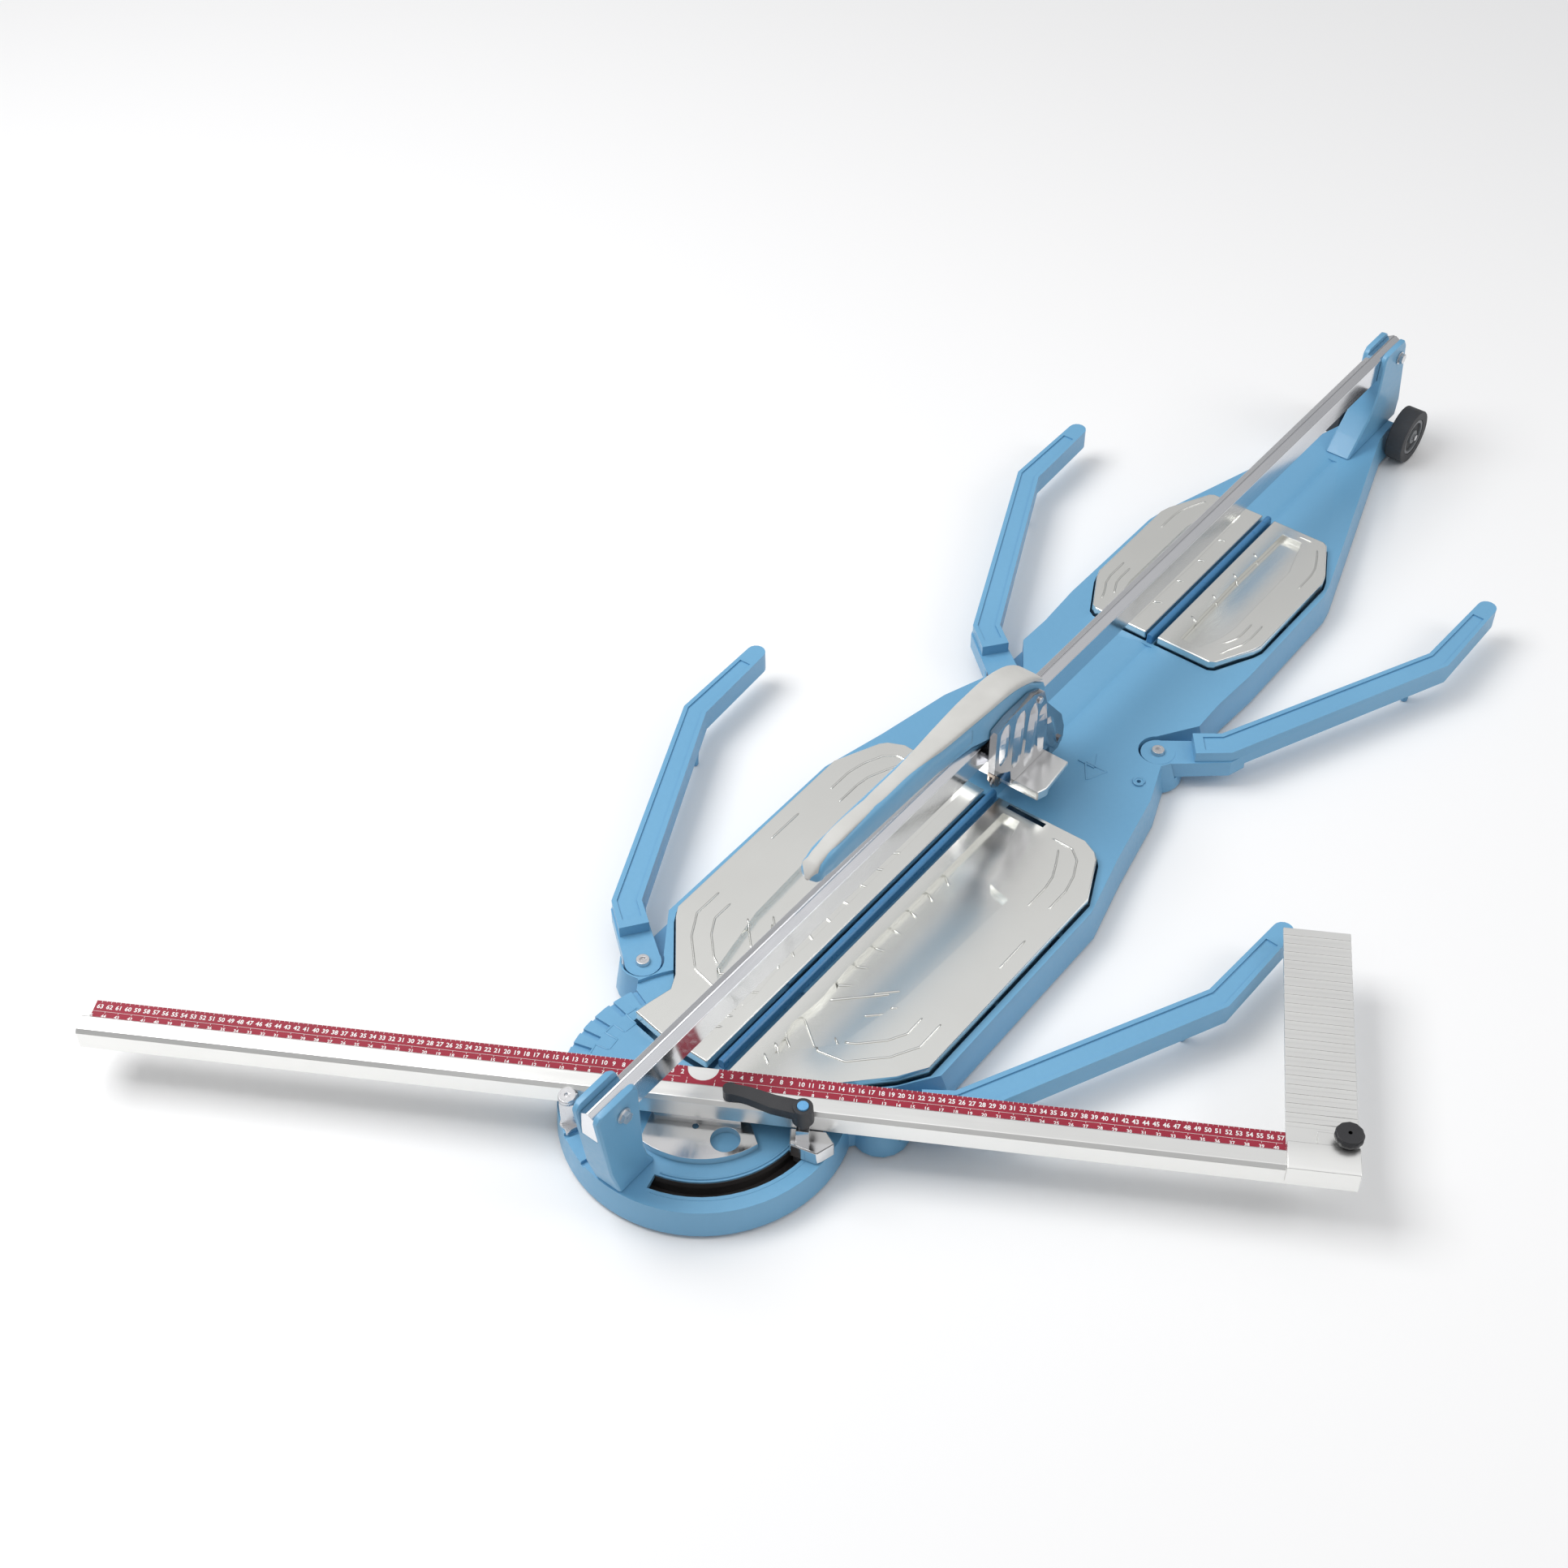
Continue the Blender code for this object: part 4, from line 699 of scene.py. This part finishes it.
PIVOT_Y = next(j["pos_m"][1] for j in frame["joints"] if j["name"] == "handle_lift")
swell = [(-0.3805, 0.0040, 0.2070, 0.2140), (-0.3770, 0.0102, 0.2035, 0.2195),
         (-0.3660, 0.0128, 0.2020, 0.2268), (-0.3300, 0.0140, 0.2000, 0.2322),
         (-0.2600, 0.0146, 0.1985, 0.2330), (-0.1900, 0.0146, 0.1960, 0.2326),
         (-0.1400, 0.0150, 0.1935, 0.2290), (-0.1140, 0.0154, 0.1915, 0.2262)]
cover = [(-0.3822, 0.0020, 0.2075, 0.2110), (-0.3808, 0.0066, 0.2080, 0.2185),
         (-0.3720, 0.0082, 0.2120, 0.2264), (-0.3500, 0.0088, 0.2220, 0.2322),
         (-0.2700, 0.0090, 0.2240, 0.2333), (-0.2000, 0.0100, 0.2240, 0.2333),
         (-0.1500, 0.0134, 0.2240, 0.2333), (-0.0900, 0.0166, 0.2230, 0.2325),
         (-0.0300, 0.0172, 0.2150, 0.2270), (0.0000, 0.0170, 0.2030, 0.2140),
         (0.0180, 0.0158, 0.1925, 0.1990), (0.0258, 0.0120, 0.1865, 0.1890)]


def from_pivot(stations):
    return [(PIVOT_Y + y, half, low, high) for y, half, low, high in stations]


sides = loft("handle_swell", from_pivot(swell), exponent=0.66)
wear(sides, "handle", "casting_paint")
grip = loft("handle_cover", from_pivot(cover), exponent=0.62)
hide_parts("handle_grip")
wear(grip, "handle", "grip_plastic")
print("handle swell done")

# %% [markdown]
# The carriage is a plated casting whose cheeks are stiffened by upright folds. Each fold is a low
# prism with a rounded nose. Together they break the reflection of the room into narrow facets.
# %% Folds on the carriage cheeks
def fold(y, lean, low, high, half, out, side):
    """Rings climb from low to high; across each ring the outline falls off as 1 - |s|."""
    z = np.linspace(low, high, 9)
    fade = np.sin(np.pi * np.linspace(0.0, 1.0, 9)) ** 0.3
    s = np.array([-1.0, -0.25, 0.15, 1.0, 1.0, -1.0])
    proud = np.array([0.0, 0.85, 1.0, 0.0, -0.3, -0.3])
    x = side * (0.0256 + out * np.outer(0.12 + 0.88 * fade, proud))
    along = y + (z - low)[:, None] * lean + np.outer(half * (0.55 + 0.45 * fade), s)
    return np.stack([x, along, np.repeat(z[:, None], len(s), 1)], -1)


folds = []
for side in (1.0, -1.0):
    for y, lean, low, high, half, out in (
            (-0.066, 0.00, 0.136, 0.194, 0.0110, 0.0040),
            (-0.040, 0.05, 0.112, 0.192, 0.0115, 0.0050),
            (-0.016, 0.08, 0.096, 0.186, 0.0105, 0.0054),
            (0.014, -0.06, 0.096, 0.168, 0.0110, 0.0050),
            (0.042, -0.34, 0.082, 0.140, 0.0095, 0.0042)):
        folds.append(fold(PIVOT_Y + y, lean, low, high, half, out, side))
# The folds share the darkened chrome, with painted dark reflection in its colour.
wear(skins("cheek_folds", folds, smooth=False), "carriage", "carriage_chrome")
print("folds", len(folds))

# %% [markdown]
# Turned trim is a profile spun about an axis. The profile can be fluted: its radius is multiplied
# by 1 + depth cos(n t), which gives the grip on a knob or the tread on a tyre.
# %% Turned and fluted trim
def turned(profile, centre, axis="z", count=48, flutes=0, depth=0.0):
    """profile: (radius, height) pairs. Ring j is the profile's j-th point spun round the axis."""
    profile = np.asarray(profile, float)
    t = np.linspace(0.0, 2.0 * np.pi, count, endpoint=False)
    radius = profile[:, :1] * (1.0 + depth * np.cos(flutes * t))[None, :]
    a, b = radius * np.cos(t), radius * np.sin(t)
    c = np.repeat(profile[:, 1:], count, 1)
    order = {"z": (a, b, c), "x": (c, a, b)}[axis]
    return np.stack(order, -1) + np.asarray(centre, float)


def middle(node):
    low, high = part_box(node)
    return [(a + b) / 2.0 for a, b in zip(low, high)]


x, y, _ = middle("stop_knob")
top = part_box("stop_knob")[1][2]
cap = turned([(0.0122, top - 0.0092), (0.0141, top - 0.0080), (0.0145, top - 0.0050),
              (0.0141, top - 0.0024), (0.0120, top - 0.0006), (0.0070, top - 0.0001),
              (0.0020, top + 0.0000)], (x, y, 0.0), count=72, flutes=12, depth=0.018)
wear(skins("stop_knob_cap", [cap]), "side_stop_knob", "lever_plastic")

x, y, _ = middle("stop_screw")
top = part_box("stop_screw")[1][2]
knurl = turned([(0.0086, top - 0.0072), (0.0093, top - 0.0066), (0.0093, top - 0.0022),
                (0.0086, top - 0.0014)], (x, y, 0.0), count=144, flutes=36, depth=0.02)
wear(skins("stop_screw_knurl", [knurl]), "index_screw", "zinc")

x, y, _ = middle("clamp_button")
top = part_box("clamp_button")[1][2]
button = turned([(0.0056, top - 0.0020), (0.0057, top - 0.0010), (0.0050, top - 0.0002),
                 (0.0030, top + 0.0000), (0.0008, top + 0.0001)], (x, y, 0.0), count=40)
wear(skins("clamp_button_crown", [button]), "lever_button", "button_paint")
print("knob, knurl and button turned")

# %% [markdown]
# The transport wheels have a plain solid tyre with three low bands round it and a five-armed hub
# face. The bands are turned shapes, and each hub arm is a row of flattened rings.
# %% Tyre bands and hub arms
def band(centre, radius, width):
    """A rounded rib round the tyre: radius + bulge cos(pi s / 2), s from -1 to 1 across it."""
    s = np.linspace(-1.0, 1.0, 7)
    shape = np.stack([radius + 0.0007 * np.cos(np.pi * s / 2.0) - 0.0004, s * width / 2.0], -1)
    return turned(np.concatenate([[[radius - 0.003, -width / 2]], shape,
                                  [[radius - 0.003, width / 2]]]), centre, "x", 96)


for side in ("right", "left"):
    low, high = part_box(f"tyre_{side}")
    centre = np.array(middle(f"tyre_{side}"))
    radius = (high[2] - low[2]) / 2.0
    bands = [band(centre + (offset, 0.0, 0.0), radius - 0.0004, 0.0042)
             for offset in (-0.0060, 0.0, 0.0060)]
    wear(skins(f"tyre_bands_{side}", bands), f"wheel_{side}", "tyre_rubber")
    outer = 1.0 if side == "right" else -1.0
    face = centre[0] + outer * 0.0042
    spokes = []
    for arm in range(5):
        t = 2.0 * np.pi * arm / 5.0
        reach = np.linspace(0.0100, 0.0205, 6)
        ring = np.linspace(0.0, 2.0 * np.pi, 12, endpoint=False)
        out = np.repeat(reach[:, None], 12, 1)
        wide = np.outer(0.0022 + 0.0006 * (reach - 0.010) / 0.01, np.cos(ring))
        proud = np.repeat(0.0030 * np.sin(ring)[None, :], 6, 0)
        spokes.append(np.stack([face + outer * proud,
                                centre[1] + out * np.cos(t) - wide * np.sin(t),
                                centre[2] + out * np.sin(t) + wide * np.cos(t)], -1))
    wear(skins(f"hub_spokes_{side}", spokes), f"wheel_{side}", "hub_plastic")
print("tyres banded")

# %% [markdown]
# Two thin seams finish the rail: one along each shoulder, where the drawn bar's flanks meet its
# crown. A seam is only a dark hairline, a bead two tenths of a millimetre proud.
# %% Rail seams
low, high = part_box("guide_rail")
seams = []
for x in (-0.0089, 0.0089):
    z = low[2] + (high[2] - low[2]) * 0.865
    line = [(x, low[1] + 0.004), (x, high[1] - 0.004)]
    seams.append(bead(line, 0.0008, 0.0002, z, passes=0))
wear(skins("rail_seams", seams), "base", "zinc")
print("seams", len(seams))

# %% [markdown]
# Polished metal is only as interesting as what it mirrors, so the room is painted in soft bands: a
# bright ceiling, a darker band above the horizon and a mid-grey wall between them. One broad lamp
# stands to the left and behind, a smaller one fills from the right, and the floor is plain white.
# %% Floor, room and lamps
def studio():
    size = 14.0
    corners = size * np.array([[-1, -1, 0], [1, -1, 0], [1, 1, 0], [-1, 1, 0]])
    floor = add_mesh("studio_floor", corners, [[0, 1, 2, 3]], smooth=False)
    look = Finish("floor_white", 0.9)
    look.set("Base Color", (0.92, 0.92, 0.92, 1.0))
    floor.data.materials.append(look.material)


def lamp(name, size, power, place, target=(0.0, 0.55, 0.0)):
    data = bpy.data.lights.new(name, "AREA")
    data.shape = "SQUARE"
    data.size = size
    data.energy = power
    thing = bpy.data.objects.new(name, data)
    bpy.context.scene.collection.objects.link(thing)
    thing.location = place
    thing.rotation_euler = (Vector(target) - Vector(place)).to_track_quat("-Z", "Y").to_euler()


def room(strength, bands):
    world = bpy.data.worlds.new("room")
    world.use_nodes = True
    tree = world.node_tree
    view = tree.nodes.new("ShaderNodeTexCoord")
    split = tree.nodes.new("ShaderNodeSeparateXYZ")
    ramp = tree.nodes.new("ShaderNodeValToRGB")
    tree.links.new(view.outputs["Generated"], split.inputs[0])
    tree.links.new(split.outputs["Z"], ramp.inputs["Fac"])
    tree.links.new(ramp.outputs["Color"], tree.nodes["Background"].inputs["Color"])
    tree.nodes["Background"].inputs["Strength"].default_value = strength
    stops = ramp.color_ramp.elements
    while len(stops) < len(bands):
        stops.new(0.5)
    for stop, (height, grey) in zip(stops, bands):
        stop.position = height
        stop.color = (grey, grey, grey * 1.01, 1.0)
    bpy.context.scene.world = world


studio()
lamp("key", 1.9, 72.0, (-1.7, -0.5, 3.0))
lamp("fill", 1.2, 14.0, (2.4, 1.6, 2.2))
room(1.0, [(0.0, 0.42), (0.20, 0.16), (0.45, 0.30), (0.66, 0.62), (0.80, 0.74), (1.0, 0.95)])
bpy.context.scene.view_settings.view_transform = "Standard"
print("studio lit")

# %% [markdown]
# The camera stands where the viewer would, to the right of the head and well above it, looking
# back along the rail.
# %% Camera
AZIMUTH = math.radians(39.228)
ELEVATION = math.radians(45.543)
ROLL = math.radians(-1.108)
STATION = Vector((0.9292, -1.0025, 1.8679))
SENSOR = 36.0
FRAME_SIDE = 1932.0
FOCAL = 2748.56 / FRAME_SIDE * SENSOR


def camera():
    data = bpy.data.cameras.new("portrait")
    data.sensor_width = SENSOR
    data.lens = FOCAL
    data.clip_end = 40.0
    thing = bpy.data.objects.new("portrait", data)
    bpy.context.scene.collection.objects.link(thing)
    back = Vector((math.sin(AZIMUTH) * math.cos(ELEVATION),
                   -math.cos(AZIMUTH) * math.cos(ELEVATION), math.sin(ELEVATION)))
    level = Vector((math.cos(AZIMUTH), math.sin(AZIMUTH), 0.0))
    rise = back.cross(level)
    right = level * math.cos(ROLL) + rise * math.sin(ROLL)
    up = rise * math.cos(ROLL) - level * math.sin(ROLL)
    turn = Matrix((right, up, back)).transposed()
    thing.matrix_world = Matrix.Translation(STATION) @ turn.to_4x4()
    bpy.context.scene.camera = thing
    return thing


camera()
